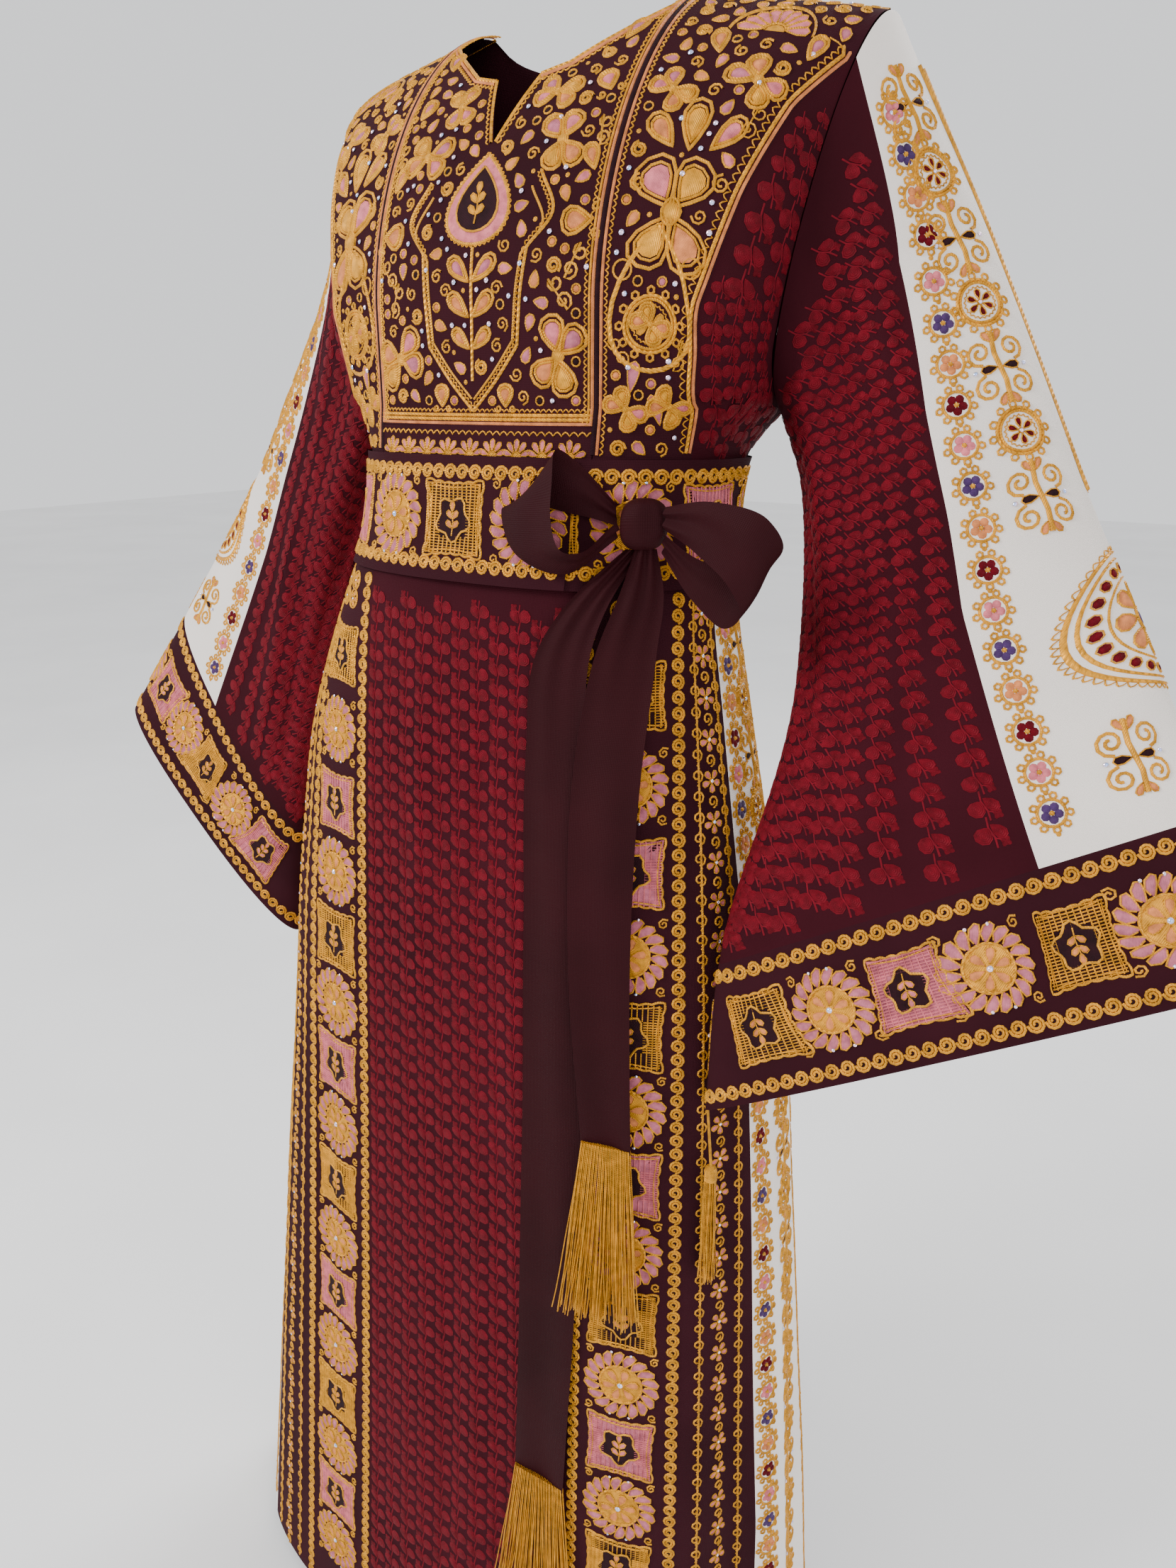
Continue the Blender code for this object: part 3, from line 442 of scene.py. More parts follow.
ARM_S = side_seam(UNDERARM_Z, 1)
ARM_S_BACK = half_round(UNDERARM_Z, 1) - side_seam(UNDERARM_Z, 1)


def arm_s(face):
    return ARM_S if face < 0 else ARM_S_BACK


def torso_row(s, h, face):
    """Bodice points at one height share, -1 waist seam, 0 underarm, 1 shoulder."""
    s = np.asarray(s, float)
    side = np.where(s >= 0, 1.0, -1.0)
    if h < 0:
        z = UNDERARM_Z + h * (UNDERARM_Z - WAIST_Z)
        if face < 0:
            return body_row(s, z)
        half = np.where(s >= 0, half_round(z, 1), half_round(z, -1))
        return body_row(side * (half - np.abs(s)), z)
    reach = arm_s(face)
    power = FRONT_ROLL if face < 0 else BACK_ROLL

    def plain(at):
        way = np.where(at >= 0, 1.0, -1.0)
        if face < 0:
            base = body_row(at, UNDERARM_Z)
        else:
            half = np.where(at >= 0, half_round(UNDERARM_Z, 1), half_round(UNDERARM_Z, -1))
            base = body_row(way * (half - np.abs(at)), UNDERARM_Z)
        top_x = way * np.interp(np.abs(at), [0, 0.10, 0.10 + 0.5 * (reach - 0.10), reach],
                                [0, 0.102, 0.168, 0.222])
        top_z = SHOULDER_Z - SHOULDER_SLOPE * np.maximum(np.abs(top_x) - 0.095, 0.0)
        lift = 2 / pi * np.arcsin(min(h, 1.0))
        z = UNDERARM_Z + (top_z - UNDERARM_Z) * h
        t = np.clip((z - BUST_Z) / (top_z - BUST_Z), 0.0, 1.0)
        roll = (1 - t**power) ** (1 / power)
        x = base[..., 0] + (top_x - base[..., 0]) * lift**1.3
        return np.stack([x, SHOULDER_Y + (base[..., 1] - SHOULDER_Y) * roll, z], axis=-1)

    angle = acos(min(max(2 * h - 1, -1.0), 1.0))
    edges = {}
    for way in (1, -1):
        arm = sleeve_row(way, np.array([-face * angle]), 0.0)[0]
        edges[way] = arm - plain(np.array([way * reach]))[0]
    extra = np.where((s >= 0)[..., None], edges[1], edges[-1])
    pull = ease((np.abs(s) - 0.10) / (reach - 0.10))
    point = plain(s) + extra * pull[..., None]
    depth = crease_at(TORSO_CREASES, np.abs(point[..., 0]) * np.sign(s), point[..., 2])
    point[..., 1] += depth * face * ease(h / 0.06)
    return point


def torso_h(z):
    return (z - UNDERARM_Z) / (UNDERARM_Z - WAIST_Z)


def band_edge(h, face):
    """Distance from the centre to the outer edge of the band or the back piece."""
    reach = arm_s(face)
    if h >= BAND_EDGE[-1][0]:
        return reach
    column = 1 if face < 0 else 2
    rows = [(row[0], min(row[column], reach)) for row in BAND_EDGE]
    return float(straight_table(rows, max(h, 0.0), 1))


# Charts: a grid of points that a pair of cloth coordinates is read from
class Chart:
    def __init__(self, us, vs, points, lift=0.0, wrap=False):
        self.us, self.vs = np.asarray(us), np.asarray(vs)
        self.points = points
        du = np.gradient(points, axis=0)
        dv = np.gradient(points, axis=1)
        if wrap:
            du[0] = du[-1] = points[1] - points[-2]
        n = np.cross(du, dv)
        n /= np.linalg.norm(n, axis=2)[..., None] + 1e-15
        self.normals = n
        self.lift = lift
        self.eu = (self.us[-1] - self.us[0]) / (len(us) - 1)
        self.ev = (self.vs[-1] - self.vs[0]) / (len(vs) - 1)

    def flip(self):
        self.normals = -self.normals
        return self

    def index(self, u, v):
        i = np.interp(u, self.us, np.arange(len(self.us)))
        j = np.interp(v, self.vs, np.arange(len(self.vs)))
        return i, j

    def read(self, grid, u, v):
        i, j = self.index(u, v)
        a = np.minimum(i.astype(int), grid.shape[0] - 2)
        b = np.minimum(j.astype(int), grid.shape[1] - 2)
        x, y = (i - a)[..., None], (j - b)[..., None]
        return ((grid[a, b] * (1 - x) + grid[a + 1, b] * x) * (1 - y)
                + (grid[a, b + 1] * (1 - x) + grid[a + 1, b + 1] * x) * y)

    def at(self, u, v, height=0.0):
        u, v = np.asarray(u, float), np.asarray(v, float)
        normal = self.read(self.normals, u, v)
        normal /= np.linalg.norm(normal, axis=-1)[..., None] + 1e-15
        out = self.lift + np.asarray(height, float)
        return self.read(self.points, u, v) + normal * out[..., None], normal

    def slopes(self, u, v):
        e, f = self.eu, self.ev
        du = (self.read(self.points, u + e, v) - self.read(self.points, u - e, v)) / (2 * e)
        dv = (self.read(self.points, u, v + f) - self.read(self.points, u, v - f)) / (2 * f)
        return du, dv

    def move(self, u, v, offset, du=None, dv=None):
        """Chart coordinates of points moved by small vectors along the surface."""
        if du is None:
            du, dv = self.slopes(u, v)
        a = (du * du).sum(-1)
        b = (du * dv).sum(-1)
        c = (dv * dv).sum(-1)
        p = (du * offset).sum(-1)
        q = (dv * offset).sum(-1)
        det = a * c - b * b + 1e-18
        return u + (p * c - q * b) / det, v + (q * a - p * b) / det


class SkirtChart(Chart):
    """Skirt in cloth distance from the centre front, and height."""

    def index(self, u, v):
        v = np.clip(v, -1.5, -0.30)
        left = np.interp(v, self.vs, self.half_left)
        right = np.interp(v, self.vs, self.half_right)
        u = np.where(u > left, u - left - right, u)
        u = np.where(u < -right, u + left + right, u)
        share = np.where(u >= 0, u / left, u / right)
        i = np.interp(share, self.us, np.arange(len(self.us)))
        j = np.interp(v, self.vs, np.arange(len(self.vs)))
        return i, j


def make_skirt_chart():
    shares = np.linspace(-1, 1, 361)
    zs = np.linspace(-1.5, -0.30, 121)
    rows = []
    for z in zs:
        s = np.where(shares >= 0, shares * half_round(z, 1), shares * half_round(z, -1))
        rows.append(body_row(s, z))
    chart = SkirtChart(shares, zs, np.array(rows).transpose(1, 0, 2), FACE, wrap=True)
    chart.half_left = np.array([half_round(z, 1) for z in zs])
    chart.half_right = np.array([half_round(z, -1) for z in zs])
    chart.eu = 0.004
    chart.ev = 0.010
    return chart


class TorsoChart(Chart):
    """Half of the bodice in distance from the centre and length up the cloth."""

    def __init__(self, face):
        reach = arm_s(face)
        ss = np.linspace(-reach, reach, 181)
        low = np.linspace(-1, 0, 24)[:-1]
        high = np.sin(np.linspace(0, pi / 2, 90))
        hs = np.concatenate([low, high])
        raw = np.array([torso_row(ss, float(h), face) for h in hs]).transpose(1, 0, 2)
        step = np.linalg.norm(np.diff(raw, axis=1), axis=2)
        run = np.concatenate([np.zeros((len(ss), 1)), np.cumsum(step, axis=1)], axis=1)
        ts = np.linspace(0, run[:, -1].max(), 220)
        grid = np.array([[np.interp(ts, run[i], raw[i, :, k]) for k in range(3)]
                         for i in range(len(ss))]).transpose(0, 2, 1)
        super().__init__(ss, ts, grid, FACE)
        self.face, self.hs, self.run, self.raw = face, hs, run, raw
        bad = np.linalg.norm(self.normals, axis=2) < 0.5
        for i, j in zip(*np.nonzero(bad)):
            self.normals[i, j] = self.normals[i, j - 1]
        if face > 0:
            self.flip()

    def t_of_h(self, s, h):
        """Length up the cloth at a height share."""
        s, h = np.broadcast_arrays(np.asarray(s, float), np.asarray(h, float))
        i = np.interp(s, self.us, np.arange(len(self.us)))
        a = np.minimum(i.astype(int), len(self.us) - 2)
        low, top = [np.array([np.interp(y, self.hs, self.run[x + next_row])
                              for x, y in zip(a.ravel(), h.ravel())]) for next_row in (0, 1)]
        k = (i - a).ravel()
        return (low * (1 - k) + top * k).reshape(s.shape)

    def t_of_z(self, s, z):
        """Length up the cloth at a height in metres."""
        i = int(np.argmin(np.abs(self.us - s)))
        return float(np.interp(z, self.raw[i, :, 2], self.run[i]))

    def end(self, s):
        """Length of the cloth column at s, up to the shoulder line."""
        return np.interp(s, self.us, self.run[:, -1])


def make_sleeve_chart(side):
    bases = np.linspace(-pi, pi, 193)
    shares = np.linspace(0, 1, 101)
    rows = np.array([sleeve_surface_row(side, bases, float(u)) for u in shares])
    chart = Chart(bases, shares, rows.transpose(1, 0, 2), FACE, wrap=True)
    if side < 0:
        chart.flip()
    return chart


SKIRT = make_skirt_chart()
FRONT = TorsoChart(-1)
BACK = TorsoChart(1)
SLEEVE = {1: make_sleeve_chart(1), -1: make_sleeve_chart(-1)}


def make_belt_chart():
    count, zs = 320, np.linspace(BELT_BOTTOM_Z, BELT_TOP_Z, 9)
    grid = np.zeros((count + 1, len(zs), 3))
    middle = section(WAIST_Z)[0]
    nominal = float(middle[-1] - middle[0]) + BELT_OVER_S - BELT_UNDER_S
    shares = np.linspace(0, 1, count + 1)
    for j, z in enumerate(zs):
        length = section(z)[0]
        whole = float(length[-1] - length[0])
        run = whole + BELT_OVER_S - BELT_UNDER_S
        s = BELT_UNDER_S + run * shares
        lift = ease((s - (whole - 0.075)) / 0.085)
        n = SKIRT.at(s, np.full_like(s, z))[1]
        grid[:, j] = body_row(s, z) + n * (BELT_CLEAR + BELT_STEP * lift)[:, None]
    return Chart(shares * nominal, zs, grid, BELT_WALL / 2 + 0.0001), nominal


# Materials
def shader_material(name, colour, rough, metallic=0.0):
    mat = bpy.data.materials.new(name)
    mat.use_nodes = True
    shader = mat.node_tree.nodes["Principled BSDF"]
    shader.inputs["Base Color"].default_value = (*colour, 1.0)
    shader.inputs["Roughness"].default_value = rough
    shader.inputs["Metallic"].default_value = metallic
    return mat, mat.node_tree, shader


def node(tree, kind, **values):
    made = tree.nodes.new(kind)
    for key, value in values.items():
        if key in made.inputs:
            made.inputs[key].default_value = value
        else:
            setattr(made, key, value)
    return made


def drift(tree, shader, low, high, scale, detail, spread=0.20, rough=0.6):
    """Base colour that drifts between two colours over the object, as uneven dye."""
    place = tree.nodes.new("ShaderNodeTexCoord")
    noise = node(tree, "ShaderNodeTexNoise", Scale=scale, Detail=detail, Roughness=rough)
    ramp = tree.nodes.new("ShaderNodeValToRGB")
    ends = ramp.color_ramp.elements
    for k, colour in enumerate((low, high)):
        ends[k].position = 0.5 + (2 * k - 1) * spread
        ends[k].color = (*colour, 1.0)
    tree.links.new(place.outputs["Object"], noise.inputs["Vector"])
    tree.links.new(noise.outputs["Fac"], ramp.inputs["Fac"])
    tree.links.new(ramp.outputs["Color"], shader.inputs["Base Color"])
    return place


def vary_colour(tree, shader, colour, low, high, scale, detail=3.0):
    """The same between two strengths of one colour."""
    return drift(tree, shader, [c * low for c in colour],
                 [min(c * high, 1.0) for c in colour], scale, detail)


def bump_from(tree, shader, heights, distance, strength):
    """Adds height sockets together and turns them into a bump."""
    total = heights[0]
    for other in heights[1:]:
        add = tree.nodes.new("ShaderNodeMath")
        add.operation = "ADD"
        tree.links.new(total, add.inputs[0])
        tree.links.new(other, add.inputs[1])
        total = add.outputs[0]
    bump = node(tree, "ShaderNodeBump", Distance=distance, Strength=strength)
    tree.links.new(total, bump.inputs["Height"])
    tree.links.new(bump.outputs["Normal"], shader.inputs["Normal"])


def stripes(tree, place, turn, per_metre):
    """Fine lines across the cloth coordinates, as threads lie."""
    mapping = tree.nodes.new("ShaderNodeMapping")
    mapping.inputs["Rotation"].default_value = (0.0, 0.0, turn)
    wave = node(tree, "ShaderNodeTexWave", Scale=per_metre / 20 * 6.283)
    wave.bands_direction = "X"
    tree.links.new(place, mapping.inputs["Vector"])
    tree.links.new(mapping.outputs["Vector"], wave.inputs["Vector"])
    return wave.outputs["Fac"]


def cloth_material(name, colour, rough, threads, sheen, crinkle, low=0.78, high=1.22):
    """Woven cloth: warp and weft lines and a fine crinkle in the bump."""
    mat, tree, shader = shader_material(name, colour, rough)
    place = vary_colour(tree, shader, colour, low, high, 7.0)
    uv = tree.nodes.new("ShaderNodeUVMap").outputs["UV"]
    lines = [stripes(tree, uv, turn, threads) for turn in (0.0, pi / 2)]
    noise = node(tree, "ShaderNodeTexNoise", Scale=crinkle, Detail=5.0, Roughness=0.65)
    tree.links.new(place.outputs["Object"], noise.inputs["Vector"])
    bump_from(tree, shader, [*lines, noise.outputs["Fac"]], 0.0005, 0.35)
    shader.inputs["Sheen Weight"].default_value = sheen
    shader.inputs["Sheen Roughness"].default_value = 0.35
    shader.inputs["Sheen Tint"].default_value = (*[min(1.0, c * 3 + 0.05) for c in colour], 1.0)
    shader.inputs["Specular IOR Level"].default_value = 0.06
    return mat


def thread_material(name, colour, rough, metallic, per_metre, slant, bump=0.55):
    """Twisted cord or laid thread: fine lines that cross it at a slant."""
    mat, tree, shader = shader_material(name, colour, rough, metallic)
    vary_colour(tree, shader, colour, 0.7, 1.25, 160.0, 2.0)
    uv = tree.nodes.new("ShaderNodeUVMap")
    bump_from(tree, shader, [stripes(tree, uv.outputs["UV"], slant, per_metre)], 0.0006, bump)
    shader.inputs["Specular IOR Level"].default_value = 0.12
    return mat


def satin_stitch(name, colour, rough=0.45, per_metre=1600):
    return thread_material(name, colour, rough, 0.0, per_metre, 0.3)


def stone_material(name):
    """Cut stones: each takes a blue or a pink cast from its place."""
    mat, tree, shader = shader_material(name, (0.85, 0.80, 0.90), 0.08, 0.85)
    drift(tree, shader, (0.45, 0.60, 0.95), (1.0, 0.72, 0.88), 300.0, 1.0, 0.15, 0.5)
    return mat


CLOTHS = {
    "plum_cloth": cloth_material(
        "plum_crepe", (0.028, 0.0050, 0.0085), 0.80, 900, 0.02, 350),
    "red_cloth": cloth_material(
        "plum_crepe_under_red", (0.034, 0.0038, 0.0075), 0.80, 900, 0.02, 350),
    "white_cloth": cloth_material(
        "ivory_satin", (0.84, 0.765, 0.70), 0.50, 700, 0.05, 120, 0.94, 1.05),
    "ribbon_cloth": cloth_material(
        "plum_satin", (0.024, 0.0036, 0.0052), 0.55, 800, 0.01, 90),
}

THREADS = {
    "gold": thread_material("gold_thread", (0.62, 0.275, 0.020), 0.40, 0.25, 900, 0.9),
    "rope": thread_material("gold_rope", (0.66, 0.290, 0.021), 0.36, 0.30, 420, 0.9, 0.9),
    "pink": satin_stitch("pink_satin_stitch", (0.66, 0.17, 0.20)),
    "mauve": satin_stitch("mauve_satin_stitch", (0.48, 0.14, 0.19)),
    "peach": satin_stitch("peach_satin_stitch", (0.66, 0.22, 0.075)),
    "crimson": thread_material(
        "crimson_chain_stitch", (0.130, 0.0020, 0.0085), 0.65, 0.0, 5, 0.0, 0.8),
    # dark plum stitching; under the gold coins the same colour is painted shade in the grooves
    # between the turns
    "dark": satin_stitch("dark_plum_stitch_and_groove_shade", (0.018, 0.003, 0.006), 0.70, 1200),
    "navy": satin_stitch("violet_satin_stitch", (0.065, 0.030, 0.110), 0.42),
    "stone": stone_material("cut_stone"),
}
MATS = list(THREADS)


# Motifs: small raised meshes drawn flat, x along, y across, third number the height
class Parts:
    """Meshes gathered into one: points, faces, thread coordinates and materials."""

    def __init__(self):
        self.v, self.f, self.uv, self.m, self.n = [], [], [], [], 0

    def add(self, v, f, uv, mat):
        self.v.append(v)
        self.f.append(f + self.n)
        self.uv.append(uv)
        self.m.append(np.full(len(f), MATS.index(mat)) if isinstance(mat, str) else mat)
        self.n += len(v)
        return self


class Motif(Parts):
    def cord(self, points, width=0.0012, height=0.0008, mat="gold", closed=False, base=0.0):
        p = np.asarray(points, float)
        if closed:
            p = np.vstack([p, p[:1]])
        d = np.gradient(p, axis=0)
        if closed:
            d[0] = d[-1] = p[1] - p[-2]
        d /= np.linalg.norm(d, axis=1)[:, None] + 1e-12
        side = np.stack([-d[:, 1], d[:, 0]], 1) * width / 2
        n = len(p)
        v = np.zeros((3 * n, 3))
        v[0::3, :2], v[1::3, :2], v[2::3, :2] = p + side, p, p - side
        v[0::3, 2] = v[2::3, 2] = base
        v[1::3, 2] = base + height
        uv = np.zeros((3 * n, 2))
        uv[:, 0] = np.repeat(run_of(p), 3)
        uv[:, 1] = np.tile([-width / 2, 0.0, width / 2], n)
        return self.add(v, ridge_faces(n), uv, mat)

    def patch(self, outline, height=0.0006, mat="pink", rings=1, base=0.0, top=0.6):
        p = np.asarray(outline, float)
        area = (p[:, 0] * np.roll(p[:, 1], -1) - np.roll(p[:, 0], -1) * p[:, 1]).sum()
        if area < 0:
            p = p[::-1]
        n, centre = len(p), p.mean(axis=0)
        v, uv = [], []
        for k in range(rings):
            share = 1 - k / rings
            ring = centre + (p - centre) * share
            tall = base + height * (1 - share**2) ** top if k else base
            v.append(np.column_stack([ring, np.full(n, tall)]))
            uv.append(np.column_stack([np.full(n, share), np.linspace(0, 1, n)])
                      if mat == "crimson" else ring)
        v.append(np.array([[centre[0], centre[1], base + height]]))
        uv.append(np.array([[0.0, 0.5]]) if mat == "crimson" else centre[None, :])
        faces = []
        a = np.arange(n)
        b = (a + 1) % n
        for k in range(rings - 1):
            lo, hi = k * n, (k + 1) * n
            faces.append(np.column_stack([lo + a, lo + b, hi + b]))
            faces.append(np.column_stack([lo + a, hi + b, hi + a]))
        last = (rings - 1) * n
        faces.append(np.column_stack([last + a, last + b, np.full(n, rings * n)]))
        return self.add(np.vstack(v), np.vstack(faces), np.vstack(uv), mat)

    def edged(self, outline, height, mat, width, tall, rings=1):
        """A filled patch with a gold cord round it."""
        return self.patch(outline, height, mat, rings).cord(outline, width, tall, "gold", True)

    def ringlets(self, count, reach, size):
        """Small rings of cord on a circle."""
        for k in range(count):
            a = 2 * pi * k / count
            self.cord(ring_of(size, 6, reach * cos(a), reach * sin(a)), 0.0017, 0.0012, closed=True)
        return self

    def stone(self, x, y, r):
        return self.patch(ring_of(r, 7, x, y), r * 0.55, "stone", 2, 0.0008, 0.35)

    def join(self, other, x=0.0, y=0.0, turn=0.0):
        v, f, uv, m = other.arrays()
        return self.add(np.column_stack([turned(v[:, :2], turn, x, y), v[:, 2]]), f, uv, m)

    def arrays(self):
        if len(self.v) > 1:
            self.v, self.f = [np.vstack(self.v)], [np.vstack(self.f)]
            self.uv, self.m = [np.vstack(self.uv)], [np.concatenate(self.m)]
        return self.v[0], self.f[0], self.uv[0], self.m[0]


def ridge_faces(n):
    i = np.arange(n - 1) * 3
    return np.vstack([
        np.column_stack([i, i + 1, i + 4]), np.column_stack([i, i + 4, i + 3]),
        np.column_stack([i + 1, i + 2, i + 5]), np.column_stack([i + 1, i + 5, i + 4]),
    ])


def ring_of(r, n, x=0.0, y=0.0, start=0.0):
    a = start + np.arange(n) * 2 * pi / n
    return np.column_stack([x + r * np.cos(a), y + r * np.sin(a)])


def half_ring(r, n):
    a = np.linspace(0, pi, n)
    return np.column_stack([r * np.cos(a), r * np.sin(a)])


def turned(points, turn, x=0.0, y=0.0):
    c, s = cos(turn), sin(turn)
    p = np.asarray(points)
    return np.column_stack([p[:, 0] * c - p[:, 1] * s + x, p[:, 0] * s + p[:, 1] * c + y])


def teardrop(length, width, n=10, point=0.6, bend=0.0):
    """Outline with its point at the start and its round end at +x."""
    t = np.linspace(0, 2 * pi, n, endpoint=False)
    x = length * (0.5 - 0.5 * np.cos(t))
    y = width / 2 * np.sin(t) * (x / length) ** point * 1.25
    y = y + bend * x * x / length
    return np.column_stack([x, -y])


def spiral_of(r, turns=1.5, n=13, start=0.0):
    a = np.linspace(0, turns * 2 * pi, n)
    rr = r * (1 - 0.80 * np.linspace(0, 1, n))
    return np.column_stack([rr * np.cos(a + start), rr * np.sin(a + start)])


def jitter(i, salt=0.0):
    """A fixed spread of numbers from 0 to 1."""
    return (sin(i * 12.9898 + salt * 78.233) * 43758.5453) % 1.0


def leaf(length, width, mat):
    return Motif().edged(teardrop(length, width), 0.0007, mat, 0.0010, 0.0009)


def chain_leaf(length, width, point):
    """Round crimson leaf of chain stitch, worked from the outside in."""
    return Motif().patch(teardrop(length, width, 9, point), 0.0013, "crimson", 2, 0.0002)


def picots(m, points, out, step, rise):
    """A run of small loops outside a closed line."""
    p = np.vstack([points, points[:1]])
    run = run_of(p)
    loops = max(3, int(round(run[-1] / step)))
    t = np.linspace(0, run[-1], loops * 4 + 1)
    q = np.column_stack([np.interp(t, run, p[:, 0]), np.interp(t, run, p[:, 1])])
    d = headings(q)
    side = np.column_stack([d[:, 1], -d[:, 0]]) * out
    wave = np.abs(np.sin(np.arange(len(t)) * pi / 4))
    return m.cord(q + side * (wave * rise)[:, None], 0.0009, 0.0007)


def flower(r, count, petal):
    """Petals round a gold heart with a stone."""
    m = Motif()
    shape = teardrop(r * 0.78, r * 1.9 / count * 1.6, 8, 0.7)
    shape[:, 0] += r * 0.20
    for k in range(count):
        m.edged(turned(shape, 2 * pi * k / count), 0.0008, petal, 0.0009, 0.0009)
    return m.patch(ring_of(r * 0.24, 8), 0.0012, "gold").stone(0, 0, r * 0.15)


def rosette(r):
    """Round motif: a ring of comma petals round a gold flower."""
    m = Motif()
    count = 18
    shape = teardrop(r * 0.44, r * 0.30, 8, 0.5, bend=0.35)
    shape[:, 0] += r * 0.56
    for k in range(count):
        petal = turned(shape, 2 * pi * k / count)
        m.patch(petal, 0.0010, "mauve", 1, 0.0003)
        m.cord(petal, 0.0013, 0.0013, base=0.0002)
    m.patch(ring_of(r * 0.56, 18), 0.0008, "gold", 2)
    m.cord(ring_of(r * 0.56, 22), 0.0020, 0.0016, "rope", closed=True)
    heart = flower(r * 0.50, 6, "peach")
    heart.arrays()[0][:, 2] += 0.0008
    return m.join(heart, turn=0.2)


def wavy_square(a, waves=5, rise=0.0011, n_wave=4):
    """Closed outline of a square with scalloped sides."""
    corners = [(-a, -a), (a, -a), (a, a), (-a, a)]
    out = []
    for k in range(4):
        p, q = np.array(corners[k]), np.array(corners[(k + 1) % 4])
        d = (q - p) / np.linalg.norm(q - p)
        normal = np.array([d[1], -d[0]])
        for t in np.arange(waves * n_wave) / (waves * n_wave):
            bow = 0.10 * a * sin(pi * t)
            out.append(p + (q - p) * t + normal * (rise * abs(sin(pi * waves * t)) - bow))
    return np.array(out)


def sprig(size, mat):
    """Stem with five leaves, upright along y."""
    m = Motif()
    m.cord([(0, -size), (0.06 * size, -0.3 * size), (0, 0.6 * size)], 0.0010, 0.0008)
    shape = teardrop(size * 0.62, size * 0.36, 7, 0.5)
    for y, a in ((-0.55, 0.75), (-0.55, pi - 0.75), (0.0, 0.85), (0.0, pi - 0.85), (0.42, pi / 2)):
        m.edged(turned(shape, a, 0, y * size), 0.0009, mat, 0.0008, 0.0009)
    return m


def square(a, net):
    """Wavy square with a net of threads and a dark window with a sprig."""
    m = Motif()
    m.patch(wavy_square(a * 0.97, 3, 0.0, 3), 0.0003, "mauve" if net == "pink" else "dark", 2)
    b = a * 0.46   # half size of the window
    pitch = 0.0020
    count = int(a * 0.92 / pitch)
    for k in range(-count, count + 1):
        x = k * pitch
        runs = [(-a * 0.94, a * 0.94)] if abs(x) > b else [(-a * 0.94, -b), (b, a * 0.94)]
        for lo, hi in runs:
            if k % 2 == 0:
                m.cord([(x, lo), (x, hi)], 0.0010, 0.0010, net, base=0.0003)
            m.cord([(lo, x), (hi, x)], 0.0010, 0.0012, net, base=0.0003)
    around = np.arange(24) * pi / 12
    lobes = np.array([(cos(t), sin(t)) for t in around])
    lobes = lobes * (b * (1.18 + 0.20 * np.cos(around * 5 + 1.2)))[:, None]
    m.patch(lobes, 0.0002, "dark", 1, 0.0012)
    m.cord(lobes, 0.0017, 0.0011, "gold", True, 0.0011)
    m.join(sprig(b * 0.98, "peach" if net == "gold" else "pink"))
    m.v[-1][:, 2] += 0.0012
    m.cord(wavy_square(a, 6), 0.0018, 0.0014, closed=True)
    m.cord(wavy_square(a * 0.90, 1, 0.0, 6), 0.0011, 0.0012, "rope", True, 0.0004)
    return m


def scroll(r, width=0.0012):
    """S-shaped scroll along x, 4 r long."""
    one = spiral_of(r, 1.35, 13, pi)[::-1] + [-r, 0]
    return Motif().cord(np.vstack([one, -one[::-1][1:]]), width, 0.0009)


def medallion(r, heart):
    """Round of cords and picots with a flower inside."""
    m = Motif()
    n = 24
    m.cord(ring_of(r * 0.92, n), 0.0022, 0.0015, "rope", closed=True)
    m.ringlets(12, r * 1.08, 0.0023)
    m.cord(ring_of(r * 0.80, n), 0.0020, 0.0014, "gold", closed=True)
    picots(m, ring_of(r * 0.66, n), -1, 0.0032, 0.0012)
    return m.join(flower(r * 0.55, 6, heart))


def fan_motif(r, petals, mat):
    """Half flower opening along +y."""
    m = Motif()
    shape = teardrop(r * 0.75, r * 0.36, 8, 0.6)
    shape[:, 0] += r * 0.28
    for k in range(petals):
        m.edged(turned(shape, pi * (k + 0.5) / petals), 0.0009, mat, 0.0009, 0.0009)
    m.patch(half_ring(r * 0.26, 7), 0.0009, "gold")
    return m.cord(half_ring(r * 0.30, 8), 0.0012, 0.0010)


# Areas: motifs and lines laid on a chart and gathered into one mesh
def spots_between(left, right, step=0.0024):
    """Rows of chart points between two lines of equal length."""
    out = []
    length = np.linalg.norm(np.diff(left, axis=0), axis=1).sum()
    rows = max(2, int(length / step))
    places = np.linspace(0, len(left) - 1, rows)
    index = np.arange(len(left))
    for k, place in enumerate(places):
        a = np.array([np.interp(place, index, left[:, c]) for c in (0, 1)])
        b = np.array([np.interp(place, index, right[:, c]) for c in (0, 1)])
        count = max(2, int(np.linalg.norm(b - a) / step))
        shares = (np.arange(count) + 0.5 * (k % 2)) / count
        out.append(a + (b - a) * shares[:, None])
    return np.vstack(out)


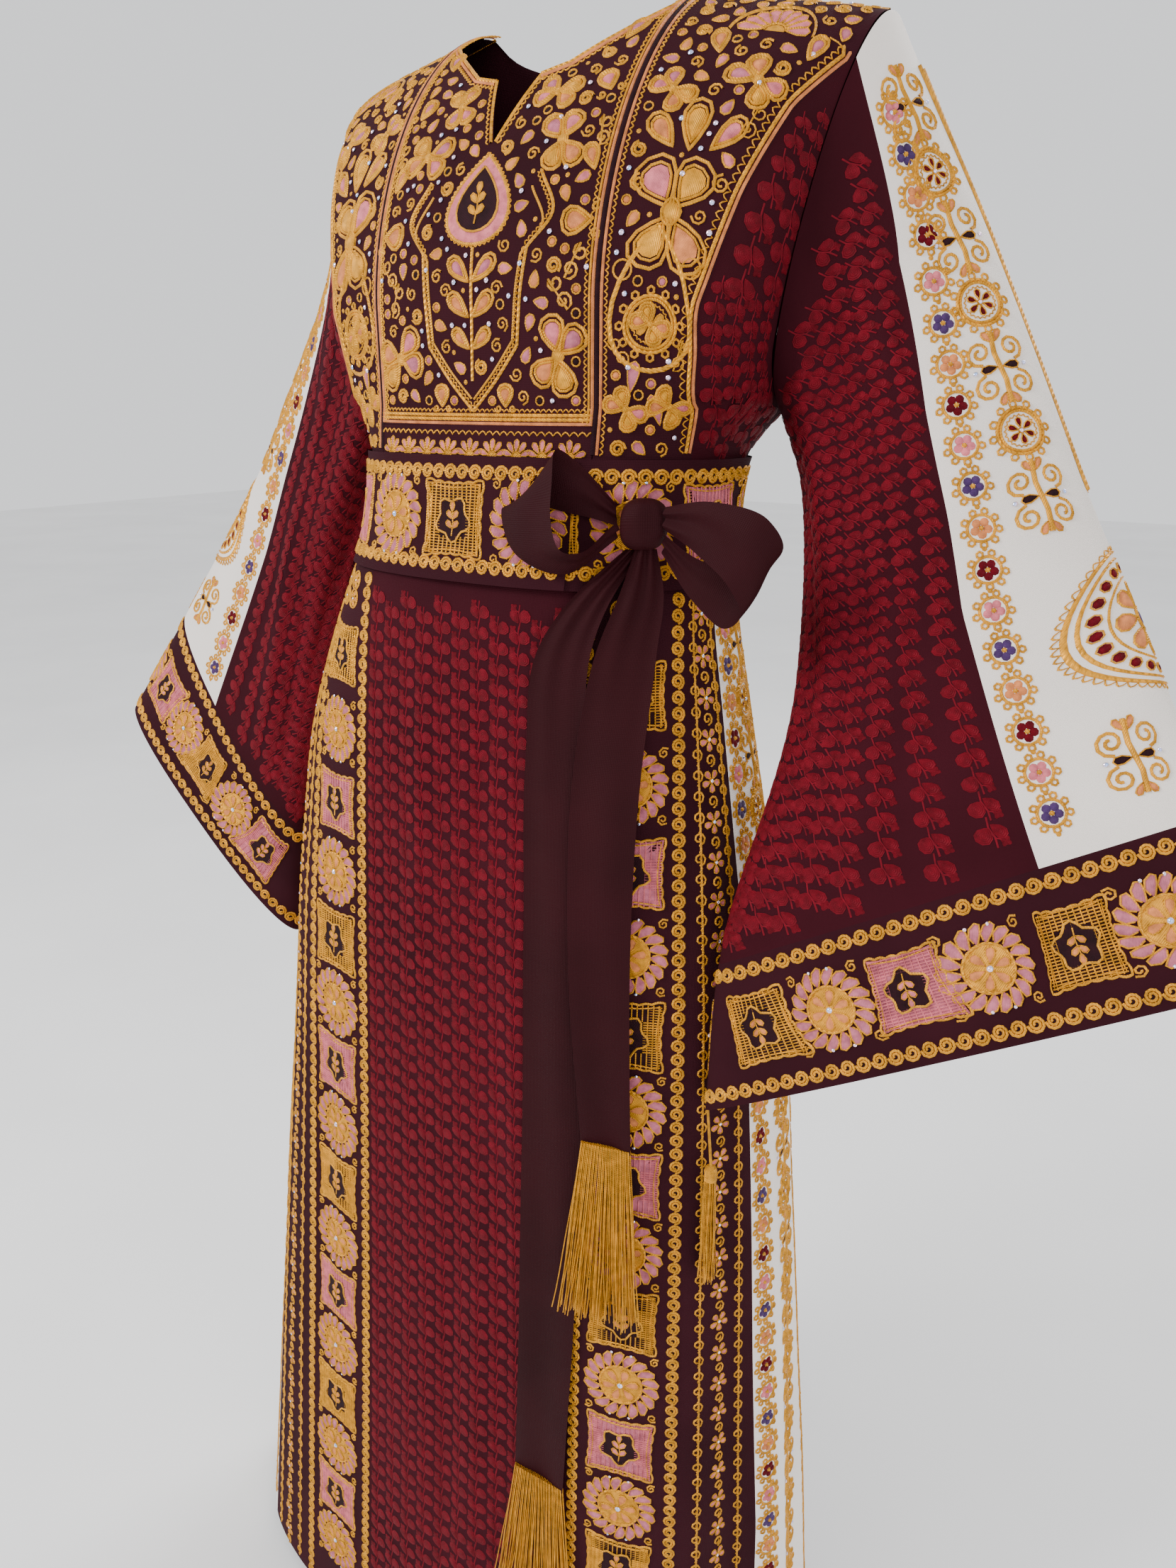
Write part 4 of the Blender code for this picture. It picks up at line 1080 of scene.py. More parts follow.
class Area(Parts):
    def __init__(self, name):
        super().__init__()
        self.name = name

    def place(self, chart, spot, motif, way=(1.0, 0.0), scale=1.0, mirror=False):
        """Lays a motif at a chart point, its x along a direction in the chart."""
        local, faces, uv, mats = motif.arrays()
        u, v = spot
        one, two = chart.slopes(np.array([u]), np.array([v]))
        normal = chart.at(np.array([u]), np.array([v]))[1][0]
        e1 = one[0] * way[0] + two[0] * way[1]
        e1 = e1 - normal * np.dot(e1, normal)
        e1 /= np.linalg.norm(e1)
        e2 = np.cross(normal, e1) * (-1 if mirror else 1)
        x, y = local[:, 0] * scale, local[:, 1] * scale
        us, vs = chart.move(u, v, x[:, None] * e1 + y[:, None] * e2, one, two)
        points = chart.at(us, vs, local[:, 2] * scale**0.5)[0]
        self.add(points, faces[:, ::-1] if mirror else faces, uv * scale, mats)

    def line(self, chart, uv, width, height, mat="gold", shift=0.0):
        """A cord along chart points, moved sideways by a distance in metres."""
        uv = np.asarray(uv, float)
        if np.ndim(shift) or shift:
            uv = shifted(chart, uv, shift)
        points, normals = chart.at(uv[:, 0], uv[:, 1])
        side = np.cross(normals, headings(points))
        n = len(points)
        out = np.zeros((3 * n, 3))
        out[0::3] = points + side * width / 2
        out[1::3] = points + normals * height
        out[2::3] = points - side * width / 2
        coords = np.column_stack([np.repeat(run_of(points), 3),
                                  np.tile([-width / 2, 0, width / 2], n)])
        self.add(out, ridge_faces(n), coords, mat)

    def loops(self, chart, uv, shift, out, step, rise):
        """A row of small loops beside a line."""
        uv = resample(chart, uv, step / 4)
        wave = np.abs(np.sin(np.arange(len(uv)) * pi / 4)) * rise * out
        self.line(chart, uv, 0.0010, 0.0008, "gold", shift + wave)

    def row(self, chart, uv, motif, step, shift=0.0, between=True):
        """The same motif at equal steps along a line."""
        spots = resample(chart, uv, step)
        if between:
            spots = (spots[:-1] + spots[1:]) / 2
        if shift:
            spots = shifted(chart, spots, shift)
        for spot, way in zip(spots, np.gradient(spots, axis=0)):
            self.place(chart, spot, motif, way)

    def fill(self, chart, spots):
        """Small motifs in the free places, the largest that each place takes."""
        taken = [np.vstack(self.v)]
        for v, f in zip(self.v, self.f):
            taken.append(v[f - f.min()].mean(axis=1))
        taken = np.vstack(taken)
        tree = KDTree(len(taken))
        for k, p in enumerate(taken):
            tree.insert(p, k)
        tree.balance()
        points = chart.at(spots[:, 0], spots[:, 1])[0]
        free = np.array([tree.find(p)[2] for p in points])
        done = np.zeros((0, 4))
        for reach, motifs in FILLERS:
            count = 0
            for k in np.nonzero(free > reach)[0]:
                apart = np.linalg.norm(done[:, :3] - points[k], axis=1) - done[:, 3]
                if len(done) and apart.min() < reach:
                    continue
                turn = 2.4 * count
                self.place(chart, spots[k], motifs[count % len(motifs)], (cos(turn), sin(turn)))
                done = np.vstack([done, [*points[k], reach]])
                count += 1

    def build(self):
        v, f = np.vstack(self.v), np.vstack(self.f)
        uv, m = np.vstack(self.uv), np.concatenate(self.m)
        obj = mesh_object(self.name, v, f, uv)
        used = sorted(set(m.tolist()))
        for k in used:
            obj.data.materials.append(THREADS[MATS[k]])
        order = np.zeros(len(MATS), int)
        order[used] = np.arange(len(used))
        obj.data.polygons.foreach_set("material_index", order[m].astype(np.int32))
        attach(obj, "root")
        return obj


def turn_way(chart, spot, way, turn):
    """A chart direction turned by an angle on the cloth."""
    one, two = chart.slopes(np.array([spot[0]]), np.array([spot[1]]))
    normal = chart.at(np.array([spot[0]]), np.array([spot[1]]))[1][0]
    e1 = one[0] * way[0] + two[0] * way[1]
    e2 = np.cross(normal, e1)
    goal = e1 * cos(turn) + e2 * sin(turn)
    u, v = chart.move(0.0, 0.0, goal[None, :], one, two)
    return float(u[0]), float(v[0])


def resample(chart, uv, step):
    """Chart points at equal steps on the cloth."""
    uv = np.asarray(uv, float)
    run = run_of(chart.at(uv[:, 0], uv[:, 1])[0])
    t = np.linspace(0, run[-1], max(2, int(round(run[-1] / step)) + 1))
    return np.column_stack([np.interp(t, run, uv[:, 0]), np.interp(t, run, uv[:, 1])])


def shifted(chart, uv, shift):
    """Chart points moved to the left of their line by a distance in metres."""
    points, normals = chart.at(uv[:, 0], uv[:, 1])
    side = np.cross(normals, headings(points))
    return np.column_stack(chart.move(uv[:, 0], uv[:, 1], side * np.reshape(shift, (-1, 1))))


def mesh_object(name, v, f, uv, material=None):
    mesh = bpy.data.meshes.new(name)
    mesh.vertices.add(len(v))
    mesh.vertices.foreach_set("co", np.asarray(v, np.float32).ravel())
    corners = f.shape[1]
    mesh.loops.add(f.size)
    mesh.polygons.add(len(f))
    mesh.loops.foreach_set("vertex_index", f.astype(np.int32).ravel())
    mesh.polygons.foreach_set("loop_start", (np.arange(len(f)) * corners).astype(np.int32))
    mesh.polygons.foreach_set("use_smooth", np.ones(len(f), bool))
    layer = mesh.uv_layers.new(name="UVMap")
    layer.data.foreach_set("uv", np.asarray(uv, np.float32)[f.ravel()].ravel())
    mesh.update(calc_edges=True)
    obj = bpy.data.objects.new(name, mesh)
    bpy.context.scene.collection.objects.link(obj)
    if material:
        mesh.materials.append(material)
    return obj


def grid_faces(rows, cols):
    i, j = np.meshgrid(np.arange(rows - 1), np.arange(cols - 1), indexing="ij")
    a = (i * cols + j).ravel()
    return np.column_stack([a, a + cols, a + cols + 1, a + 1])


def polygon_area(v, f):
    p = v[f]
    one = np.cross(p[:, 1] - p[:, 0], p[:, 2] - p[:, 0])
    two = np.cross(p[:, 2] - p[:, 0], p[:, 3] - p[:, 0])
    return float((np.linalg.norm(one, axis=1) + np.linalg.norm(two, axis=1)).sum() / 2)


def cloth_sheet(name, points, uv, slot, node_name, flip=False):
    """One cloth piece from a grid of points, with its flat size measured on it."""
    rows, cols = points.shape[:2]
    faces = grid_faces(rows, cols)
    if flip:
        faces = faces[:, ::-1]
    v = points.reshape(-1, 3)
    obj = mesh_object(name, v, faces, uv.reshape(-1, 2), CLOTHS[slot])
    across = np.linalg.norm(np.diff(points, axis=0), axis=2).sum(axis=0)
    along = np.linalg.norm(np.diff(points, axis=1), axis=2).sum(axis=1)
    area = polygon_area(v, faces)
    wide = across.max()
    if name in ("chest_panel_cloth", "back_bodice_cloth"):
        # rows near the top follow the neckline and the slit, so the width is taken straight across
        wide = max(across.min(), np.ptp(uv[..., 0]))
    flat = (float(wide), float(along.max()))
    area = min(area, flat[0] * flat[1])
    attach(obj, "root")
    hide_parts(node_name)
    print("SHEET", name, round(flat[0], 3), round(flat[1], 3), round(area, 4))
    return obj


def panel(name, chart, grid, slot, flip=False):
    """A panel's cloth, 0.1 mm under the surface that its embroidery lies on."""
    points = chart.at(grid[..., 0], grid[..., 1], np.full(grid.shape[:2], -0.0001))[0]
    return cloth_sheet(name + "_cloth", points, grid, slot, name, flip)


# Cloth panels
def seam_s(z, column, side):
    return side * straight_table(SKIRT_SEAMS, z, column)


def skirt_grid(first, last, columns):
    """Chart points of a skirt panel between two seams."""
    zs = np.linspace(WAIST_Z - 0.0006, HEM_Z, 90)
    k = np.linspace(0, 1, columns + 1)[:, None]
    s = first(zs)[None, :] * (1 - k) + last(zs)[None, :] * k
    return np.stack([s, np.broadcast_to(zs, s.shape)], axis=-1)


def build_skirt_cloth():
    def seam(column, side):
        return lambda z: seam_s(z, column, side)

    panel("skirt_centre", SKIRT, skirt_grid(seam(1, -1), seam(1, 1), 40), "red_cloth", flip=True)
    for side, word in SIDES:
        for name, a, b, columns, slot in (
            ("skirt_band_", 1, 2, 14, "plum_cloth"),
            ("skirt_side_", 2, 3, 14, "plum_cloth"),
            ("skirt_white_", 3, 4, 26, "white_cloth"),
        ):
            grid = skirt_grid(seam(a, side), seam(b, side), columns)
            panel(name + word, SKIRT, grid, slot, flip=side > 0)

    def back_end(z):
        whole = np.array([section(y)[0][-1] - section(y)[0][0] for y in z])
        return whole + seam_s(z, 4, -1)

    panel("skirt_back", SKIRT, skirt_grid(seam(4, 1), back_end, 110), "plum_cloth", flip=True)


def neck_height(s, face):
    z = float(straight_table(NECKLINE, abs(s), 1 if face < 0 else 2))
    if face < 0 and abs(s) < SLIT_HALF_WIDTH:
        z = SLIT_BOTTOM_Z + (z - SLIT_BOTTOM_Z) * abs(s) / SLIT_HALF_WIDTH
    return z


CHEST_LOW = FRONT.t_of_z(0.0, CHEST_PANEL_BOTTOM_Z)


def band_line(face, count=60, side=1):
    """Seam between the shoulder band, or the back piece, and the side piece."""
    hs = np.sin(np.linspace(0, pi / 2, count)) * BAND_TOP
    hs = np.concatenate([np.linspace(-1, -0.02, 12), hs])
    s = np.array([band_edge(h, face) for h in hs])
    chart = FRONT if face < 0 else BACK
    return np.column_stack([side * s, chart.t_of_h(s, hs)])


def torso_grid(chart, first, last, columns, heights):
    """Chart points between two edges given as functions of the height share."""
    a = np.array([first(h) for h in heights])
    b = np.array([last(h) for h in heights])
    k = np.linspace(0, 1, columns + 1)[:, None]
    s = a * (1 - k) + b * k
    h = np.broadcast_to(heights, s.shape)
    return np.stack([s, chart.t_of_h(s, h)], axis=-1)


def build_bodice_cloth():
    low = torso_h(CHEST_PANEL_BOTTOM_Z)
    edge = NECK_HALF_WIDTH - 0.0006
    spots = np.unique(np.concatenate([np.linspace(-edge, edge, 61), [0.0]]))
    grid = []
    for s in spots:
        top = float(FRONT.end(s)) * 0.985
        if abs(s) < edge - 1e-6:
            top = FRONT.t_of_z(s, neck_height(s, -1))
        grid.append(upright(s, np.linspace(CHEST_LOW, top, 48)))
    panel("chest_panel", FRONT, np.array(grid), "plum_cloth")
    heights = np.linspace(-1, low, 8)
    grid = torso_grid(FRONT, lambda h: -edge, lambda h: edge, 24, heights)
    panel("waist_strip", FRONT, grid, "plum_cloth")
    heights = np.concatenate([np.linspace(-1, 0, 16)[:-1], np.sin(np.linspace(0, pi / 2, 46))])
    lower = np.concatenate([np.linspace(-1, 0, 16)[:-1],
                            np.sin(np.linspace(0, pi / 2, 34)) * BAND_TOP])

    def seam_end(h, side, face):
        if h >= 0:
            return arm_s(face)
        z = UNDERARM_Z + h * (UNDERARM_Z - WAIST_Z)
        return side_seam(z, side) if face < 0 else half_round(z, side) - side_seam(z, side)

    for side, word in SIDES:
        grid = torso_grid(FRONT, lambda h: side * NECK_HALF_WIDTH,
                          lambda h: side * band_edge(h, -1), 16, heights)
        panel("shoulder_band_" + word, FRONT, grid, "plum_cloth", flip=side < 0)
        for face, place, chart in ((-1, "front", FRONT), (1, "back", BACK)):
            grid = torso_grid(chart, lambda h: side * band_edge(h, face),
                              lambda h: side * seam_end(h, side, face), 14, lower)
            panel("side_%s_%s" % (place, word), chart, grid, "red_cloth",
                  flip=side * face > 0)
    shares = np.linspace(-2, 2, 61)
    grid = []
    for k in shares:
        side = -1 if k < 0 else 1
        column = []
        for h in heights:
            reach = band_edge(h, 1)
            s = NECK_HALF_WIDTH * min(abs(k), 1.0)
            s += (reach - NECK_HALF_WIDTH) * max(abs(k) - 1, 0.0)
            if abs(k) < 1 and h > 0:
                top = BACK.t_of_z(side * s, neck_height(s, 1))
                full = float(BACK.t_of_h(side * s, h)) / float(BACK.end(side * s))
                column.append((side * s, full * top))
            else:
                column.append((side * s, float(BACK.t_of_h(side * s, h))))
        grid.append(column)
    panel("back_bodice", BACK, np.array(grid), "plum_cloth", flip=True)


def build_sleeve_cloth(side, word):
    shares = np.linspace(0, CUFF_START, 64)
    cuff = np.linspace(CUFF_START, 1.0, 16)

    def grid(b0, b1, count, rows):
        b = np.linspace(b0, b1, count)
        return np.stack(np.meshgrid(b, rows, indexing="ij"), axis=-1)

    for name, first, last, count, rows, slot in (
        ("sleeve_front_", WHITE_HALF, pi, 30, shares, "red_cloth"),
        ("sleeve_top_", -WHITE_HALF, WHITE_HALF, 50, shares, "white_cloth"),
        ("sleeve_back_", -pi, -WHITE_HALF, 30, shares, "red_cloth"),
        ("cuff_", -pi, pi, 120, cuff, "plum_cloth"),
    ):
        panel(name + word, SLEEVE[side], grid(first, last, count, rows), slot, flip=side < 0)


BELT, BELT_RUN = make_belt_chart()


def build_belt_cloth():
    us = np.linspace(0, BELT_RUN, 220)
    vs = np.linspace(BELT_BOTTOM_Z, BELT_TOP_Z, 10)
    grid = np.stack(np.meshgrid(us, vs, indexing="ij"), axis=-1)
    panel("belt", BELT, grid, "plum_cloth")


# Bow, tails and fringes
def knot_frame():
    """Middle of the knot, 0.5 mm off the belt, and its outward direction."""
    point = body_row(np.array([KNOT_S]), KNOT_Z)[0]
    out = SKIRT.at(np.array([KNOT_S]), np.array([KNOT_Z]))[1][0]
    return point + out * (BELT_CLEAR + BELT_WALL / 2 + 0.0005 + KNOT_HALF[1]), out


def loop_path(rows, way, steps=60):
    """Middle points and width vectors of a ribbon loop beside the knot."""
    middle, out = knot_frame()
    along = np.array([way[0], way[1], 0.0])
    along /= np.linalg.norm(along)
    up = np.array([0.0, 0.0, 1.0])
    centre, across = [], []
    for i in range(steps + 1):
        row = [smooth_table(rows, i / steps, c) for c in range(1, 8)]
        centre.append(middle + along * row[0] + out * row[1] + up * row[2])
        width = along * row[4] + out * row[5] + up * row[6]
        across.append(width / np.linalg.norm(width) * row[3])
    return np.array(centre), np.array(across)


def tail_line(rows, count):
    zs = np.linspace(rows[0][0], rows[-1][0], count + 1)
    centre, across, outward = [], [], []
    for z in zs:
        s, width, off = [smooth_table(rows, z, c) for c in (1, 2, 3)]
        a, b = body_row(np.array([s - width / 2, s + width / 2]), z, off)
        centre.append((a + b) / 2)
        across.append(b - a)
        outward.append(SKIRT.at(np.array([s]), np.array([z]))[1][0])
    return np.array(centre), np.array(across), np.array(outward)


def ribbon_sheet(name, centre, across, columns, pleat):
    """Ribbon with soft pleats that fade away from the knot."""
    share = np.linspace(-0.5, 0.5, columns + 1)
    points = np.array([centre + across * k for k in share])
    run = np.gradient(points, axis=1)
    side = np.gradient(points, axis=0)
    normals = np.cross(side, run)
    normals /= np.linalg.norm(normals, axis=2)[..., None]
    down = np.linspace(0, 1, len(centre))
    points = points + normals * pleat(share[:, None], down[None, :])[..., None]
    width = np.linalg.norm(across, axis=1).max()
    length = np.linalg.norm(np.diff(centre, axis=0), axis=1)
    v = np.concatenate([[0.0], np.cumsum(length)])
    uv = np.stack(np.meshgrid(share * width, v, indexing="ij"), axis=-1)
    return cloth_sheet(name + "_ribbon", points, uv, "ribbon_cloth", name)


def strand_bundle(node_name, tops, ways, length, radius, curve):
    """Thin three-sided threads that hang from a row of points."""
    v, f, uv = [], [], []
    n, segments = 0, 9
    for k, (top, way) in enumerate(zip(tops, ways)):
        size = length * (0.95 + 0.05 * jitter(k, 3))
        sway = np.array([jitter(k, 1) - 0.5, jitter(k, 2) - 0.5, 0.0]) * curve
        t = np.linspace(0, 1, segments + 1)
        line = top + t[:, None] * way * size + (t**2)[:, None] * sway
        line = line + (np.sin(t * 9 + k) * 0.0006 * t)[:, None] * np.array([1.0, 0.3, 0.0])
        for i, p in enumerate(line):
            r = radius * (1 - 0.25 * t[i])
            for c in range(3):
                a = 2 * pi * c / 3 + k
                v.append(p + np.array([cos(a) * r, sin(a) * r, 0.0]))
                uv.append((t[i] * size, c / 3 * radius * 3))
        for i in range(segments):
            for c in range(3):
                d = (c + 1) % 3
                f.append((n + i * 3 + c, n + i * 3 + 3 + c, n + i * 3 + 3 + d, n + i * 3 + d))
        n += 3 * (segments + 1)
    obj = mesh_object(node_name + "_threads", np.array(v), np.array(f)[:, ::-1], np.array(uv),
                      THREADS["gold"])
    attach(obj, "root")
    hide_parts(node_name)
    return obj


def build_bow():
    def loop_pleat(k, t):
        near = 1 - np.sin(pi * t)
        return (0.0016 * np.cos(k * 4 * pi) * near**1.5
                + 0.0010 * np.sin(k * 7 + t * 11) * np.sin(pi * t))

    def tail_pleat(k, t):
        near = np.exp(-t / 0.10)
        return (0.0022 * np.cos(k * 5 * pi) * near
                + 0.0012 * np.sin(k * 3.3 + t * 9.0) * (1 - near)
                + 0.0009 * np.sin(k * 8 - t * 5.0) * (1 - near))

    for word, rows in (("left", LOOP_LEFT), ("right", LOOP_RIGHT)):
        centre, across = loop_path(rows, LOOP_WAY[word])
        ribbon_sheet("bow_loop_" + word, centre, across, 16, loop_pleat)
    for word, rows, count in (("long", TAIL_LONG, 90), ("short", TAIL_SHORT, 60)):
        centre, across, outward = tail_line(rows, count)
        ribbon_sheet("tail_" + word, centre, across, 14, tail_pleat)
        end = rows[-1]
        near = body_row(np.array([end[1]]), end[0])[0]
        far = body_row(np.array([end[1]]), end[0] - 0.12)[0]
        lean = far - near
        lean[2] = 0.0
        count, length, radius = FRINGE
        tops, ways = [], []
        for k in range(count):
            place = (k + 0.5) / count - 0.5
            layer = (k % 3 - 1) * 0.0012
            tops.append(centre[-1] + across[-1] * place * 0.97 + outward[-1] * (layer + 0.0006)
                        + np.array([0.0, 0.0, 0.003]))
            way = np.array([0.0, 0.0, -1.0]) + lean / 0.12 * 1.05 + across[-1] * place * 4.5
            way = way + outward[-1] * 0.016
            ways.append(way / np.linalg.norm(way))
        strand_bundle("fringe_" + word, tops, ways, length, radius, 0.010)
    build_knot()


def build_knot():
    middle, out = knot_frame()
    across = np.array([-out[1], out[0], 0.0])
    across /= np.linalg.norm(across)
    up = np.array([0.0, 0.0, 1.0])
    rows, cols = 26, 49
    phi = np.linspace(-pi / 2 + 0.12, pi / 2 - 0.12, rows)[None, :]
    th = np.linspace(0, 2 * pi, cols)[:, None]
    ring = np.abs(np.cos(phi)) ** 0.75
    crease = 1 + 0.045 * np.sin(th * 3 + phi * 2.2) * np.cos(phi) + 0.02 * np.sin(th * 7 + 1.0)
    x = KNOT_HALF[0] * ring * np.sign(np.cos(th)) * np.abs(np.cos(th)) ** 0.85 * crease
    y = KNOT_HALF[1] * ring * np.sign(np.sin(th)) * np.abs(np.sin(th)) ** 0.85 * crease
    z = KNOT_HALF[2] * np.sign(np.sin(phi)) * np.abs(np.sin(phi)) ** 0.8 + 0 * th
    points = middle + x[..., None] * across + y[..., None] * out + z[..., None] * up
    uv = np.stack(np.broadcast_arrays(th * 0.015, phi * 0.016), axis=-1)
    cloth_sheet("bow_knot_ribbon", points, uv, "ribbon_cloth", "bow_knot")


def build_tassel():
    tip = sleeve_row(1, np.array([pi]), 1.0)[0]
    top = tip + np.array([0.006, -0.003, -0.046])
    tops, ways = [], []
    count, length, radius = TASSEL
    for k in range(count):
        a, r = k * 2.4, 0.0042 * (k / count) ** 0.5
        tops.append(top + np.array([cos(a) * r, sin(a) * r, -0.006]))
        way = np.array([cos(a) * r * 6, sin(a) * r * 6, -1.0])
        ways.append(way / np.linalg.norm(way))
    strand_bundle("sleeve_tassel", tops, ways, length, radius, 0.004)
    # the cord and the bound head of the tassel
    rings = []
    for p, r in ((tip - [0, 0, 0.0006], 0.0010), ((tip + top) / 2, 0.0010), (top, 0.0011),
                 (top - [0, 0, 0.001], 0.0040), (top - [0, 0, 0.004], 0.0050),
                 (top - [0, 0, 0.008], 0.0044), (top - [0, 0, 0.012], 0.0050)):
        a = np.linspace(0, 2 * pi, 13)
        rings.append(p + np.column_stack([r * np.cos(a), r * np.sin(a), np.zeros(13)]))
    points = np.array(rings)
    uv = np.stack(np.meshgrid(np.arange(7) * 0.01, np.linspace(0, 0.03, 13), indexing="ij"),
                  axis=-1)
    head = mesh_object("sleeve_tassel_head", points.reshape(-1, 3), grid_faces(7, 13),
                       uv.reshape(-1, 2), THREADS["rope"])
    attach(head, "root")


# Embroidery
SPIRAL = Motif().cord(spiral_of(0.0050, 1.4, 12), 0.0015, 0.0011)
# The dark plum disc under the coin's coil is painted shade: it makes the grooves between the turns
# darker than the plum ground.
COIN = Motif().patch(ring_of(0.0046, 9), 0.0002, "dark")
COIN.cord(spiral_of(0.0054, 2.1, 21), 0.0019, 0.0014)
SPIRAL_BIG = Motif().cord(spiral_of(0.0058, 1.6, 15), 0.0017, 0.0012)
KNOT = Motif().patch(ring_of(0.0017, 7), 0.0008, "gold", 2)
STONE = Motif().stone(0, 0, 0.0017)


def small_flower(mat):
    return flower(0.0062, 5, mat).cord(ring_of(0.0074, 14), 0.0014, 0.0010, closed=True)


def small_leaf(mat):
    shape = teardrop(0.0105, 0.0072, 9, 0.5) - [0.0050, 0]
    return Motif().edged(shape, 0.0009, mat, 0.0014, 0.0011, 2)


def small_ring(mat):
    m = Motif().patch(ring_of(0.0022, 8), 0.0009, mat, 2)
    return m.cord(ring_of(0.0030, 9), 0.0012, 0.0010, closed=True)


def blob(length, width, mat, x=0.0, y=0.0, turn=0.0):
    """Petal with a satin middle and a thick double gold outline."""
    m = Motif()
    shape = turned(teardrop(length, width, 12, 0.6), turn, x, y)
    middle = shape.mean(axis=0)
    m.patch(middle + (shape - middle) * 0.62, 0.0014, mat, 2, 0.0003)
    m.cord(shape, 0.0024, 0.0016, "gold", True)
    return m.cord(middle + (shape - middle) * 0.72, 0.0018, 0.0018, "gold", True)


def cluster(r, mats=("mauve", "pink", "peach", "gold")):
    """Four uneven petals round a gold heart."""
    m = Motif()
    for k, mat in enumerate(mats):
        turn = k * pi / 2 + 0.25 * (-1) ** k
        x, y = r * 0.08 * cos(turn), r * 0.08 * sin(turn)
        m.join(blob(r * (0.92 + 0.08 * (k % 2)), r * 0.78, mat, x, y, turn))
    m.patch(ring_of(r * 0.20, 9), 0.0022, "gold", 2)
    return m


def wedge(r, mat="peach"):
    """Rounded triangle with a petal, its point along x."""
    m = blob(r * 1.5, r * 1.35, mat, -r * 0.6, 0, 0)
    for y in (-1, 1):
        coil = spiral_of(r * 0.30, 1.3, 10, pi / 2) * [1, y]
        m.cord(coil + [-r * 0.75, y * r * 0.62], 0.0016, 0.0012)
    return m


# room that each size of filler takes, largest first
FILLERS = [
    (0.0070, [COIN, small_leaf("mauve"), SPIRAL, small_leaf("peach"), SPIRAL, small_leaf("pink")]),
    (0.0048, [small_ring("peach"), small_ring("dark"), small_ring("mauve")]),
    (0.0036, [STONE, KNOT, STONE]),
]


def edge_trim(area, chart, uv, side):
    """Border of a band: one close row of gold coils at the very edge."""
    area.row(chart, uv, COIN, COIN_STEP, COIN_INSET * side)


def corner_coils(reach):
    """Four small coils and stones, for the corners between two motifs."""
    m = Motif()
    coil = spiral_of(0.0042, 1.4, 10, pi / 4)
    for x in (-1, 1):
        for y in (-1, 1):
            m.cord(coil * [x, y] + [x * reach, y * reach], 0.0014, 0.0010)
            m.stone(x * reach * 0.30, y * reach * 1.12, 0.0012)
    return m


def round_or_square(area, chart, spot, k, is_round, sizes, way=(1.0, 0.0)):
    """A rosette with coils in its corners, or a square that is pink or gold in turn."""
    if is_round:
        area.place(chart, spot, rosette(sizes[0]), way)
        area.place(chart, spot, corner_coils(sizes[1]), way)
    else:
        area.place(chart, spot, square(sizes[2], "pink" if (k // 2) % 2 else "gold"), way)


def embroider_skirt_bands():
    for side, word in SIDES:
        area = Area("skirt_band_%s_embroidery" % word)
        zs = np.linspace(BELT_BOTTOM_Z - 0.002, HEM_Z + 0.004, 60)
        # the lines run down, so their left side is toward +s
        for column, way in ((1, side), (2, -side)):
            edge_trim(area, SKIRT, np.column_stack([seam_s(zs, column, side), zs]), way)
        z, k = -0.474, 0
        while z > HEM_Z + 0.03:
            inner, outer = seam_s(z, 1, side), seam_s(z, 2, side)
            r = min(0.0315, abs(outer - inner) / 2 - 0.0128)
            spot = ((inner + outer) / 2, z)
            round_or_square(area, SKIRT, spot, k, k % 2, (r, r * 0.86, r * 0.90))
            z -= BAND_STEP
            k += 1
        for z in (BELT_BOTTOM_Z - 0.012, BELT_BOTTOM_Z - 0.026):
            middle = float(seam_s(z, 1, side) + seam_s(z, 2, side)) / 2
            for shift, mat in ((-0.009, "peach"), (0.009, "pink")):
                area.place(SKIRT, (middle + shift, z), small_flower(mat))
        area.build()


def red_unit():
    """One repeat of the crimson pattern: a stem, a round leaf, a long leaf and a square."""
    m = Motif()
    stem = [(0, -0.0115), (0.0012, -0.004), (-0.0008, 0.004), (0, 0.0115)]
    m.cord(stem, 0.0014, 0.0008, "crimson")
    m.join(chain_leaf(0.0130, 0.0125, 0.25), 0.0005, -0.0035, 0.65)
    m.join(chain_leaf(0.0145, 0.0095, 0.45), -0.0005, -0.0060, pi - 0.95)
    m.patch(wavy_square(0.0030, 2, 0.0005, 2) + [-0.0066, 0.0085], 0.0009, "crimson", 2)
    m.cord([(0, 0.004), (-0.003, 0.0055), (-0.0066, 0.0085)], 0.0011, 0.0006, "crimson")
    v = m.arrays()[0]
    v[:, 2] *= 0.6
    return m


def red_field(area, chart, left, right):
    """Upright columns of crimson repeats between two chart lines of equal length."""
    unit = red_unit()
    a = chart.at(left[:, 0], left[:, 1])[0]
    b = chart.at(right[:, 0], right[:, 1])[0]
    width = np.linalg.norm(b - a, axis=1)
    count = max(1, round(width.max() / RED_WIDTH))
    index = np.arange(len(left))
    for c in range(count):
        share = (c + 0.5) / count
        column = left + (right - left) * share
        places = chart.at(column[:, 0], column[:, 1])[0]
        run = run_of(places)
        at = 0.008 + 0.0095 * (c % 2)
        while at < run[-1] - 0.006:
            k = np.interp(at, run, index)
            gap = np.interp(k, index, width) / count
            lone = gap < 0.0135
            size = min(2 * gap if lone else gap, 0.0225) / 0.0230
            if not (lone and c % 2):
                spot = [np.interp(k, index, column[:, d]) for d in (0, 1)]
                span = [np.interp(k, index, (right - left)[:, d]) for d in (0, 1)]
                area.place(chart, spot, unit, span, size)
            at += RED_STEP * size


